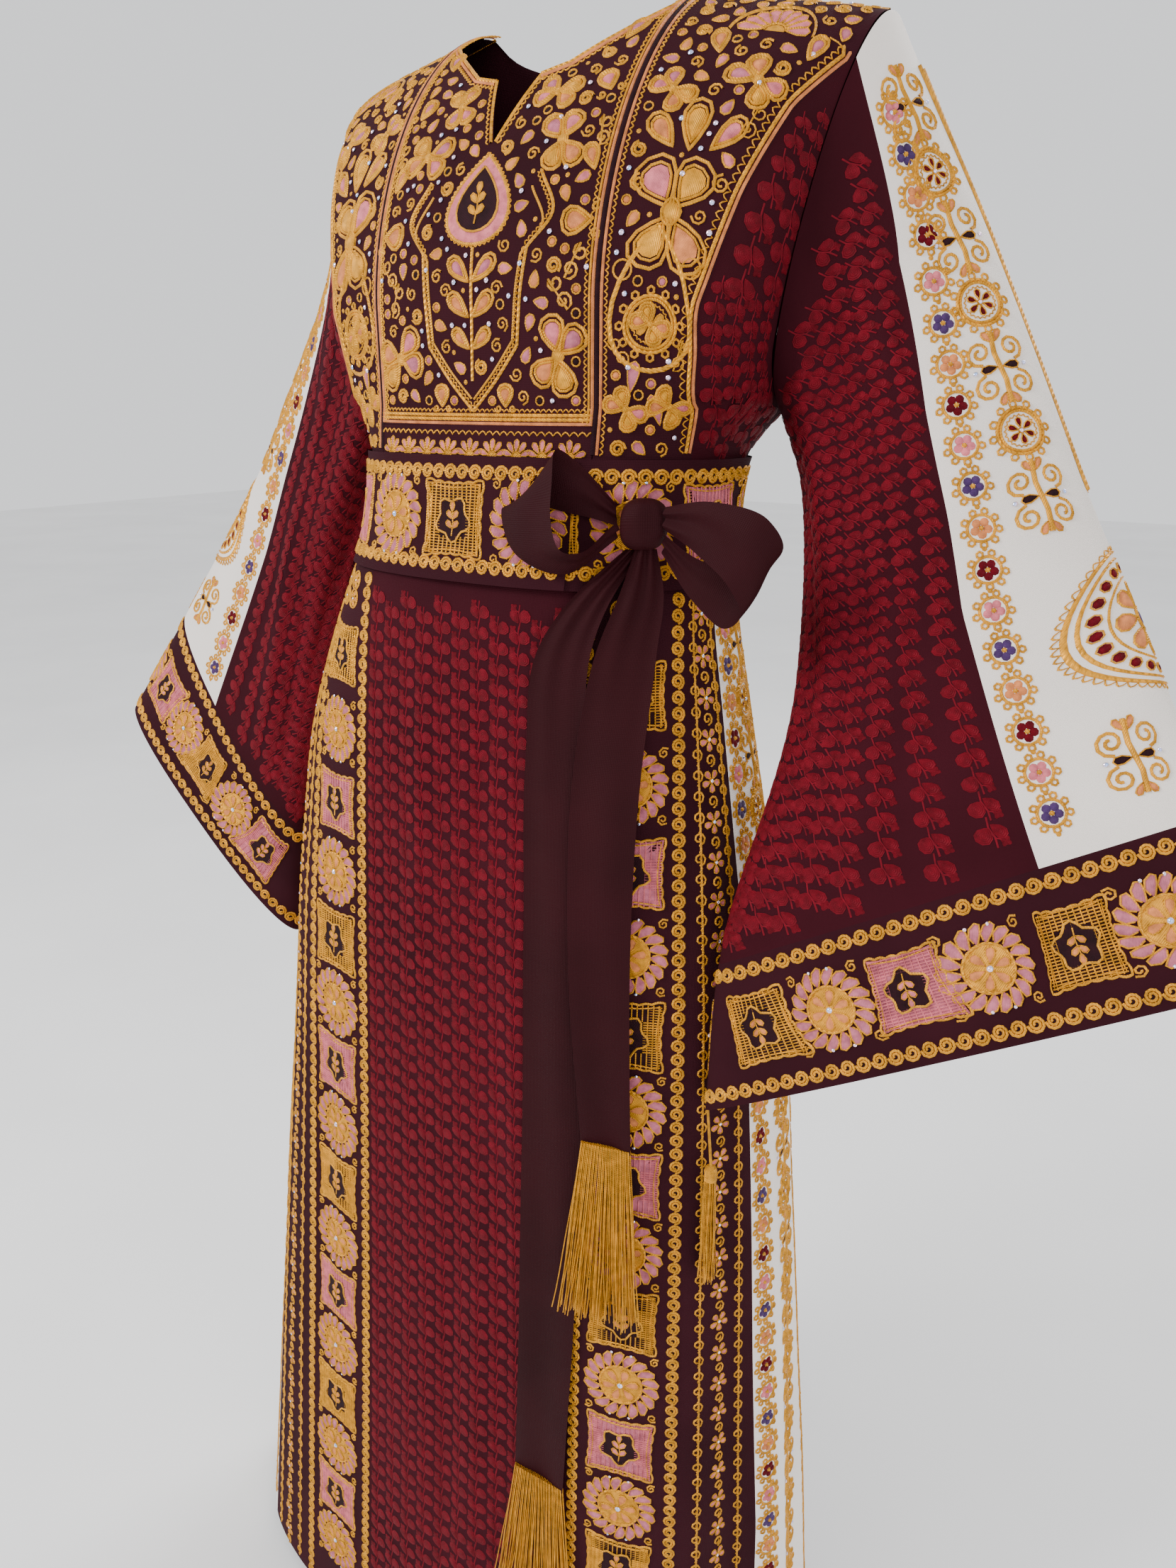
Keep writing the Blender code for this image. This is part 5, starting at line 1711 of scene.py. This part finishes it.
def embroider_skirt_centre():
    area = Area("skirt_centre_embroidery")
    zs = np.linspace(BELT_BOTTOM_Z - 0.012, HEM_Z + 0.012, 40)
    edge = seam_s(zs, 1, 1) - 0.002
    red_field(area, SKIRT, np.column_stack([-edge, zs]), np.column_stack([edge, zs]))
    area.build()


def embroider_skirt_sides():
    flower_small = flower(0.0085, 5, "pink")
    for side, word in SIDES:
        area = Area("skirt_side_%s_embroidery" % word)
        zs = np.linspace(BELT_BOTTOM_Z - 0.004, HEM_Z + 0.006, 60)
        a, b = seam_s(zs, 2, side), seam_s(zs, 3, side)
        mid = np.column_stack([(a + b) / 2, zs])
        area.row(SKIRT, mid, flower_small, 0.030)
        area.row(SKIRT, mid, SPIRAL, 0.030, between=False)
        for share in (0.22, 0.78):
            line = np.column_stack([a + (b - a) * share, zs])
            area.loops(SKIRT, line, 0.0, 1, 0.0048, 0.0018)
            area.line(SKIRT, resample(SKIRT, line, 0.008), 0.0016, 0.0010, "gold", 0.0012)
            area.row(SKIRT, line, SPIRAL, 0.0150)
        area.build()


def ringed_flower(mat):
    """Flower of five round petals in a ring of cord with ringlets."""
    m = Motif()
    for k in range(5):
        a = 2 * pi * k / 5
        petal = ring_of(0.0029, 8, 0.0042 * cos(a), 0.0042 * sin(a))
        m.patch(petal, 0.0012, mat, 2)
    m.patch(ring_of(0.0017, 7), 0.0018, "gold", 2)
    m.stone(0, 0, 0.0011)
    m.cord(ring_of(0.0086, 14), 0.0020, 0.0013, closed=True)
    return m.ringlets(9, 0.0109, 0.0021)


def vine_unit():
    """Two pairs of outward scrolls with leaf buds and stones, upright along y."""
    m = Motif()
    m.cord([(0, -0.026), (0.0015, -0.010), (-0.0015, 0.010), (0, 0.026)], 0.0040, 0.0016)
    coil = spiral_of(0.0092, 1.5, 16, -pi / 2)
    bud = teardrop(0.0120, 0.0065, 8, 0.5)
    for x in (-1, 1):
        for y in (-1, 1):
            m.cord(coil * [x, y] + [x * 0.0118, y * 0.0130], 0.0024, 0.0014)
        m.edged(turned(bud, 0 if x > 0 else pi, x * 0.0020, 0), 0.0010, "dark", 0.0012, 0.0011, 2)
        m.stone(x * 0.0180, 0, 0.0016)
        for y in (-1, 1):
            shape = turned(bud * 0.8, pi / 2 * y - x * y * 0.55, x * 0.0015, y * 0.0185)
            m.edged(shape, 0.0010, "peach", 0.0011, 0.0010, 2)
    return m


BIG_ROUND = (0.0, CUFF_START - 0.19)   # base angle and share of its middle


def near_round(chart, spot):
    """Whether a vine motif would run into the large round."""
    places = chart.at(np.array([spot[0], BIG_ROUND[0]]), np.array([spot[1], BIG_ROUND[1]]))[0]
    return np.linalg.norm(places[0] - places[1]) < ROUND_CLEAR


def big_round(area, chart):
    """Large round just above the cuff, with braided columns over it."""
    r = ROUND_R
    m = Motif().cord(ring_of(r, 40), 0.0026, 0.0016, "rope", True)
    m.cord(ring_of(r * 0.90, 36), 0.0020, 0.0014, "rope", True)
    picots(m, ring_of(r * 1.03, 40), 1, 0.0052, 0.0026)
    for k in range(22):
        a = 2 * pi * k / 22
        x, y = r * 0.76 * cos(a), r * 0.76 * sin(a)
        m.patch(ring_of(0.0030, 7, x, y), 0.0012, "crimson", 2)
        m.cord(ring_of(0.0036, 7, x, y), 0.0010, 0.0010, closed=True)
    m.cord(ring_of(r * 0.62, 30), 0.0016, 0.0012, "gold", True)
    petal = teardrop(r * 0.36, r * 0.26, 10, 0.6) + [r * 0.20, 0]
    for k in range(8):
        m.edged(turned(petal, k * pi / 4), 0.0012, "peach", 0.0014, 0.0013, 2)
    m.patch(ring_of(r * 0.17, 12), 0.0018, "navy", 2)
    m.cord(ring_of(r * 0.19, 12), 0.0016, 0.0016, "gold", True)
    area.place(chart, BIG_ROUND, m)
    for first, last in ((0.05, BIG_ROUND[1] - 0.115), (BIG_ROUND[1] + 0.115, CUFF_START - 0.012)):
        for way in (-1, 1):
            line = upright(way * 0.06, np.linspace(first, last, 20))
            area.line(chart, resample(chart, line, 0.006), 0.0040, 0.0020, "rope")
            area.loops(chart, line, 0.0036 * way, way, 0.0052, 0.0030)


def white_field(area, chart, left, right, centre):
    """Embroidery of a white panel: chains of ringed flowers at the edges, a vine inside."""
    ringed = [ringed_flower(mat) for mat in ("crimson", "pink", "navy", "peach")]
    for line, side in ((left, 1), (right, -1)):
        spots = shifted(chart, resample(chart, line, CHAIN_STEP), CHAIN_INSET * side)
        ways = np.gradient(spots, axis=0)
        for k in range(1, len(spots)):
            if k < len(spots) - 1:
                area.place(chart, spots[k], ringed[k % 4], ways[k])
            between = (spots[k] + spots[k - 1]) / 2
            area.place(chart, between, KNOT, ways[k])
    ring = medallion(0.0165, "crimson")
    vine = vine_unit()
    vines = [centre]
    if chart is not SKIRT:
        vines = [centre * 0.46 + left * 0.54, centre * 0.46 + right * 0.54]
    for line in vines:
        spots = resample(chart, line, VINE_STEP)
        ways = np.gradient(spots, axis=0)
        for k in range(1, len(spots)):
            if chart is not SKIRT and near_round(chart, spots[k]):
                continue
            if k % 2:
                way = turn_way(chart, spots[k], ways[k], -pi / 2)
                area.place(chart, spots[k], vine, way, 0.92)
            elif k < len(spots) - 1:
                area.place(chart, spots[k], ring, ways[k])
    if chart is not SKIRT:
        big_round(area, chart)


def embroider_white():
    for side, word in SIDES:
        area = Area("skirt_white_%s_embroidery" % word)
        zs = np.linspace(BELT_BOTTOM_Z - 0.006, HEM_Z + 0.006, 50)
        a, b = seam_s(zs, 3, side), seam_s(zs, 4, side)
        first, last = (a, b) if side > 0 else (b, a)
        white_field(area, SKIRT, np.column_stack([first, zs]), np.column_stack([last, zs]),
                    np.column_stack([(a + b) / 2, zs]))
        area.build()
        area = Area("sleeve_top_%s_embroidery" % word)
        chart = SLEEVE[side]
        shares = np.linspace(0.012, CUFF_START - 0.008, 50)
        left = upright(WHITE_HALF, shares)
        right = upright(-WHITE_HALF, shares)
        if side < 0:
            left, right = right, left
        white_field(area, chart, left, right, upright(0.0, shares))
        area.build()


def embroider_sleeves():
    for side, word in SIDES:
        chart = SLEEVE[side]
        for face, place in ((1, "front"), (-1, "back")):
            area = Area("sleeve_%s_%s_embroidery" % (place, word))
            shares = np.linspace(0.035, CUFF_START - 0.014, 40)
            inset = 0.03 + 0.16 * np.clip(1 - shares / 0.28, 0, 1)
            near = np.column_stack([face * (WHITE_HALF + inset), shares])
            far = upright(face * (pi - 0.03), shares)
            if side * face > 0:
                near, far = far, near
            red_field(area, chart, far, near)
            area.build()
        area = Area("cuff_%s_embroidery" % word)
        bases = np.linspace(-pi, pi, 160)
        top = level(bases, CUFF_START + 0.006)
        low = level(bases, 0.992)
        edge_trim(area, chart, top, side)
        edge_trim(area, chart, low, -side)
        mid = level(bases, 0.888)
        spots = resample(chart, mid, CUFF_STEP)
        if len(spots) % 2 == 0:
            spots = resample(chart, mid, CUFF_STEP * (len(spots) - 1) / len(spots))
        ways = np.gradient(spots, axis=0)
        for k in range(len(spots) - 1):
            round_or_square(area, chart, spots[k], k, k % 2 == 0, (0.0280, 0.0235, 0.0245), ways[k])
        area.build()


def embroider_belt():
    area = Area("belt_embroidery")
    us = np.linspace(0.004, BELT_RUN - 0.004, 200)
    top = level(us, BELT_TOP_Z - 0.001)
    low = level(us, BELT_BOTTOM_Z + 0.001)
    edge_trim(area, BELT, top, -1)
    edge_trim(area, BELT, low, 1)
    z = (BELT_TOP_Z + BELT_BOTTOM_Z) / 2
    count = 2 * round(BELT_RUN / BELT_PITCH / 2)
    for k in range(count):
        spot = ((k + 0.5) * BELT_RUN / count, z)
        round_or_square(area, BELT, spot, k, k % 2, (0.0295, 0.0250, 0.0262))
    area.build()


def embroider_side_pieces():
    for side, word in SIDES:
        for face, place, chart in ((-1, "front", FRONT), (1, "back", BACK)):
            area = Area("side_%s_%s_embroidery" % (place, word))
            near, far = [], []
            for h in np.concatenate([np.linspace(-0.45, 0, 8)[:-1], np.linspace(0, 0.80, 20)]):
                a = band_edge(float(h), face) + 0.003
                b = (arm_s(face) if h >= 0 else arm_s(face) - 0.035 * -h) - 0.004
                if b - a < 0.016:
                    break
                near.append((side * a, float(chart.t_of_h(a, h))))
                far.append((side * b, float(chart.t_of_h(b, h))))
            if side * face > 0:
                near, far = far, near
            red_field(area, chart, np.array(far), np.array(near))
            area.build()


def curve_through(points, n=24):
    """Smooth line through a few points."""
    p = np.asarray(points, float)
    t = run_of(p)
    q = np.linspace(0, t[-1], n)
    rows = [(t[i], p[i, 0], p[i, 1]) for i in range(len(p))]
    return np.array([(smooth_table(rows, x, 1), smooth_table(rows, x, 2)) for x in q])


def chest_at(x, z):
    """Chart point of the chest panel at a place seen from the front."""
    return x, FRONT.t_of_z(x, z)


def on_chest(area, x, z, motif, turn=0.0):
    area.place(FRONT, chest_at(x, z), motif, (cos(turn), sin(turn)))


def chest_line(area, points, width, mat, n=24, loops=0):
    """A cord through places of the chest panel, with loops on one side if asked."""
    line = np.array([chest_at(x, z) for x, z in curve_through(points, n)])
    area.line(FRONT, line, width, width * 0.65, mat)
    if loops:
        area.loops(FRONT, line, 0.0015 * loops, loops, 0.0036, 0.0018)


def embroider_chest():
    area = Area("chest_panel_embroidery")
    # neckline and slit
    spots = [(s, neck_height(s, -1)) for s in np.linspace(SLIT_HALF_WIDTH, 0.0905, 30)]
    for side in (1, -1):
        line = np.array([(side * s, FRONT.t_of_z(s, z)) for s, z in spots])
        way = -side
        area.line(FRONT, line, 0.0026, 0.0016, "rope", 0.0014 * way)
        area.line(FRONT, line, 0.0022, 0.0014, "peach", 0.0042 * way)
        area.loops(FRONT, line, 0.0062 * way, way, 0.0042, 0.0022)
        slit = np.array([(side * (0.0006 + 0.0174 * k),
                          FRONT.t_of_z(0.018 * k, SLIT_BOTTOM_Z + 0.044 * k))
                         for k in np.linspace(0, 1, 14)])
        area.line(FRONT, slit, 0.0024, 0.0015, "rope", -0.0014 * side)
        area.loops(FRONT, slit, -0.0034 * side, -side, 0.0042, 0.0020)
        # side border
        ts = np.linspace(CHEST_LOW + 0.001, float(FRONT.end(0.0954)) - 0.004, 60)
        border = upright(side * 0.0950, ts)
        area.line(FRONT, border, 0.0022, 0.0014, "peach", 0.0020 * side)
        area.line(FRONT, border, 0.0016, 0.0010, "gold", 0.0044 * side)
        area.loops(FRONT, border, 0.0058 * side, side, 0.0042, 0.0020)
    us = np.linspace(-0.094, 0.094, 50)
    low = level(us, CHEST_LOW + 0.0005)
    area.line(FRONT, low, 0.0020, 0.0012, "peach", 0.0016)
    area.line(FRONT, low, 0.0024, 0.0015, "rope", 0.0044)
    area.line(FRONT, low, 0.0024, 0.0015, "rope", 0.0072)
    area.loops(FRONT, low, 0.0092, 1, 0.0042, 0.0020)
    # the drop under the slit, its stem and leaves
    drop = Motif()
    shape = turned(teardrop(0.060, 0.054, 26, 0.5), -pi / 2)
    drop.patch(shape, 0.0008, "pink", 3)
    inner = turned(teardrop(0.043, 0.036, 22, 0.5), -pi / 2, 0, -0.009)
    drop.patch(inner, 0.0004, "dark", 2, 0.0010)
    drop.cord(shape, 0.0022, 0.0014, "rope", True)
    picots(drop, shape[::-1], -1, 0.0036, 0.0020)
    drop.cord(inner, 0.0016, 0.0012, "gold", True, 0.0008)
    twig = sprig(0.0135, "gold")
    twig.arrays()[0][:, 2] += 0.0016
    drop.join(twig, 0, -0.034)
    on_chest(area, 0.0, -0.126, drop)
    chest_line(area, [(0, -0.184), (0.001, -0.22), (0, -0.268)], 0.0024, "rope")
    pairs = ((-0.205, "mauve", 0.023), (-0.227, "peach", 0.022), (-0.247, "peach", 0.018))
    for z, mat, size in pairs:
        for side in (1, -1):
            on_chest(area, side * 0.002, z, blob(size, size * 0.52, mat), pi / 2 - side * 0.85)
    # hexagon of cord round the middle
    for side in (1, -1):
        corners = [(0.0, -0.288), (0.020, -0.268), (0.038, -0.246), (0.041, -0.212),
                   (0.044, -0.186), (0.060, -0.166), (0.046, -0.140)]
        for pair in ((0, 2), (2, 4), (4, 6)):
            line = [(side * x, z) for x, z in corners[pair[0]:pair[1] + 1]]
            chest_line(area, line, 0.0024, "rope", 16, side)
            inner = [(x * 0.88 + side * 0.001, z * 0.88 - 0.0264) for x, z in line]
            chest_line(area, inner, 0.0017, "gold", 16)
        for x, z, motif, turn in (
            (0.069, -0.253, cluster(0.024), 0.5 * side),
            (0.028, -0.279, wedge(0.0095), pi / 2),
            (0.080, -0.172, wedge(0.0140), pi / 2 * (1 + side)),
            (0.080, -0.196, scroll(0.0062, 0.0018), pi / 2 - side * 0.6),
            (0.070, -0.214, scroll(0.0062, 0.0018), pi / 2 + side * 0.5),
            (0.056, -0.122, cluster(0.021, ("pink", "mauve", "gold", "peach")), side),
            (0.040, -0.090, cluster(0.017, ("peach", "gold", "mauve", "pink")), -side),
            (0.076, -0.088, wedge(0.0110, "pink"), pi / 2 + side * 0.5),
            (0.084, -0.118, scroll(0.0056, 0.0018), pi / 2),
            (0.072, -0.058, blob(0.022, 0.013, "mauve"), pi / 2 - side * 0.3),
            (0.084, -0.142, blob(0.018, 0.011, "peach"), pi / 2 + side * 0.4),
            (0.022, -0.210, SPIRAL, 0),
            (0.022, -0.246, SPIRAL, 1),
        ):
            on_chest(area, side * x, z, motif, turn)
        for x, z in ((0.014, -0.205), (0.040, -0.196), (0.034, -0.152), (0.060, -0.178),
                     (0.064, -0.140), (0.050, -0.108), (0.088, -0.200), (0.016, -0.232)):
            on_chest(area, side * x, z, Motif().stone(0, 0, 0.0018))
    ts = np.linspace(CHEST_LOW + 0.010, float(FRONT.end(0.06)), 60)
    spots = spots_between(upright(-0.0925, ts), upright(0.0925, ts))
    points = FRONT.at(spots[:, 0], spots[:, 1])[0]
    x, z = np.abs(points[:, 0]), points[:, 2]
    neck = np.array([neck_height(max(float(v), SLIT_HALF_WIDTH), -1) for v in np.abs(spots[:, 0])])
    slit = np.interp(z, [SLIT_BOTTOM_Z - 0.006, SLIT_BOTTOM_Z + 0.044, 0.0], [0.0, 0.027, 0.027])
    keep = (z < neck - 0.010) & (x > slit)
    area.fill(FRONT, spots[keep])
    area.build()

    area = Area("waist_strip_embroidery")
    for k in range(9):
        x = -0.080 + 0.020 * k
        on_chest(area, x, -0.3175, fan_motif(0.0115, 5, "pink" if k % 2 else "mauve"))
    arch = level(us, FRONT.t_of_z(0.0, -0.3035))
    area.loops(FRONT, arch, 0.0, 1, 0.0060, 0.0026)
    area.build()


def band_place(s_share, t, side):
    """Chart point across the shoulder band, s_share 0 inner to 1 outer edge."""
    outer = np.interp(t, BAND_ROWS[:, 1], BAND_ROWS[:, 0])
    return side * (NECK_HALF_WIDTH + (outer - NECK_HALF_WIDTH) * s_share), t


BAND_ROWS = band_line(-1)


def embroider_shoulder_bands():
    for side, word in SIDES:
        area = Area("shoulder_band_%s_embroidery" % word)
        end = float(FRONT.end(0.12)) - 0.004
        ts = np.linspace(FRONT.t_of_z(0.12, BELT_TOP_Z + 0.003), end, 70)
        inner = upright(side * (NECK_HALF_WIDTH + 0.0006), ts)
        area.line(FRONT, inner, 0.0020, 0.0012, "peach", -0.0020 * side)
        area.loops(FRONT, inner, -0.0040 * side, -side, 0.0042, 0.0020)
        # cords that cover the seams to the chest panel and to the back
        seam = upright(side * (NECK_HALF_WIDTH - 0.0003), ts)
        area.line(FRONT, seam, 0.0034, 0.0014, "dark")
        across = np.linspace(NECK_HALF_WIDTH - 0.0005, arm_s(-1) - 0.004, 40)
        shoulder = np.column_stack([side * across, [float(FRONT.end(s)) - 0.0002 for s in across]])
        area.line(FRONT, shoulder, 0.0040, 0.0016, "gold")
        outer = BAND_ROWS * [side, 1]
        outer = outer[outer[:, 1] > ts[0]]
        area.line(FRONT, resample(FRONT, outer, 0.006), 0.0022, 0.0014, "peach", 0.0022 * side)
        area.line(FRONT, resample(FRONT, outer, 0.006), 0.0026, 0.0016, "rope", 0.0052 * side)
        area.loops(FRONT, outer, 0.0074 * side, side, 0.0056, 0.0034)
        z0 = FRONT.t_of_z(0.12, -0.30)

        def put(share, up, motif, turn=pi / 2):
            way = (side * cos(turn), sin(turn))
            area.place(FRONT, band_place(share, z0 + up, side), motif, way, mirror=side < 0)

        put(0.28, 0.014, cluster(0.0140, ("gold", "peach", "gold", "pink")))
        put(0.70, 0.016, cluster(0.0140, ("gold", "peach", "gold", "pink")))
        put(0.62, 0.004, leaf(0.020, 0.0085, "mauve"), pi / 2 + 0.3)
        put(0.32, 0.024, leaf(0.020, 0.0085, "mauve"), pi / 2 - 0.2)
        put(0.50, 0.066, medallion(0.0185, "gold"))
        put(0.50, 0.066, cluster(0.0130, ("gold", "peach", "gold", "peach")))
        drop = turned(teardrop(0.086, 0.054, 24, 0.45), pi, 0.048, 0)
        put(0.50, 0.076, Motif().cord(drop, 0.0030, 0.0014, "rope", True))
        put(0.20, 0.050, scroll(0.0052), pi / 2 + 0.5)
        put(0.82, 0.050, scroll(0.0052), pi / 2 - 0.5)
        for share, up in ((0.20, 0.098), (0.80, 0.102)):
            put(share, up, Motif().cord(ring_of(0.0060, 14), 0.0014, 0.001, "gold", True))
        put(0.50, 0.132, cluster(0.036, ("gold", "pink", "gold", "peach")), pi / 4)
        eye = ring_of(0.0080, 16) * [1.0, 0.7]
        put(0.50, 0.132, Motif().cord(eye, 0.0018, 0.0016, "gold", True, 0.0006))
        put(0.20, 0.150, SPIRAL_BIG)
        put(0.80, 0.154, SPIRAL_BIG)
        put(0.48, 0.170, blob(0.034, 0.019, "gold"), pi / 2)
        put(0.36, 0.172, blob(0.028, 0.015, "peach"), pi / 2 + 0.7)
        put(0.62, 0.172, blob(0.028, 0.015, "pink"), pi / 2 - 0.7)
        put(0.22, 0.212, cluster(0.0160))
        put(0.66, 0.222, cluster(0.0190, ("peach", "mauve", "gold", "pink")))
        put(0.80, 0.196, scroll(0.0058), pi / 2 - 0.5)
        put(0.34, 0.240, blob(0.022, 0.012, "peach"), pi / 2 + 0.3)
        put(0.80, 0.246, blob(0.020, 0.011, "mauve"), pi / 2 - 0.3)
        put(0.50, 0.262, fan_motif(0.0250, 9, "pink"), 0)
        put(0.50, 0.262, Motif().cord(half_ring(0.0290, 18), 0.002, 0.0014, "rope"), 0)
        for share, up in ((0.3, 0.04), (0.7, 0.045), (0.15, 0.12), (0.85, 0.125), (0.5, 0.155),
                          (0.35, 0.19), (0.68, 0.22), (0.2, 0.24), (0.8, 0.25)):
            put(share, up, Motif().stone(0, 0, 0.0019))
        ts = np.linspace(ts[0] + 0.004, ts[-1] - 0.004, 60)
        near = np.array([band_place(0.06, t, side) for t in ts])
        far = np.array([band_place(0.93, t, side) for t in ts])
        area.fill(FRONT, spots_between(near, far))
        area.build()


# Build everything
build_skirt_cloth()
build_bodice_cloth()
build_sleeve_cloth(1, "left")
build_sleeve_cloth(-1, "right")
build_belt_cloth()
build_bow()
build_tassel()
embroider_skirt_bands()
embroider_skirt_centre()
embroider_skirt_sides()
embroider_white()
embroider_sleeves()
embroider_belt()
embroider_side_pieces()
embroider_chest()
embroider_shoulder_bands()


# Stage, light and camera
def build_stage():
    mesh = bpy.data.meshes.new("floor")
    z = HEM_Z - 0.022
    mesh.from_pydata([(-12, -12, z), (12, -12, z), (12, 12, z), (-12, 12, z)], [], [(0, 1, 2, 3)])
    floor = bpy.data.objects.new("floor", mesh)
    bpy.context.scene.collection.objects.link(floor)
    mat, tree, shader = shader_material("pale_floor", (0.86, 0.855, 0.85), 0.8)
    vary_colour(tree, shader, (0.86, 0.855, 0.85), 0.96, 1.03, 1.5)
    mesh.materials.append(mat)
    world = bpy.data.worlds.new("studio")
    world.use_nodes = True
    world.node_tree.nodes["Background"].inputs["Color"].default_value = (0.97, 0.98, 1.0, 1.0)
    world.node_tree.nodes["Background"].inputs["Strength"].default_value = 1.15
    bpy.context.scene.world = world
    for name, place, aim, size, power in (
        ("key", (-1.9, -2.6, 1.5), (0, 0, -0.5), 1.3, 125.0),
        ("fill", (2.6, -1.9, 0.2), (0, 0, -0.7), 2.0, 30.0),
        ("rim", (0.6, 2.4, 1.6), (0, 0, -0.5), 1.4, 60.0),
    ):
        light = bpy.data.lights.new(name, "AREA")
        light.shape = "SQUARE"
        light.size = size
        light.energy = power
        obj = bpy.data.objects.new(name, light)
        obj.location = place
        way = np.array(aim, float) - np.array(place)
        obj.rotation_euler = Vector(way).to_track_quat("-Z", "Y").to_euler()
        bpy.context.scene.collection.objects.link(obj)
    # the camera solved from the photograph
    camera = bpy.data.cameras.new("camera")
    camera.lens = 25.733
    camera.sensor_width = 36.0
    camera.clip_start = 0.02
    obj = bpy.data.objects.new("camera", camera)
    obj.location = (0.52, -0.754, -0.2756)
    obj.rotation_euler = (radians(70.7488), 0.0, radians(33.4127))
    bpy.context.scene.collection.objects.link(obj)
    bpy.context.scene.camera = obj


build_stage()
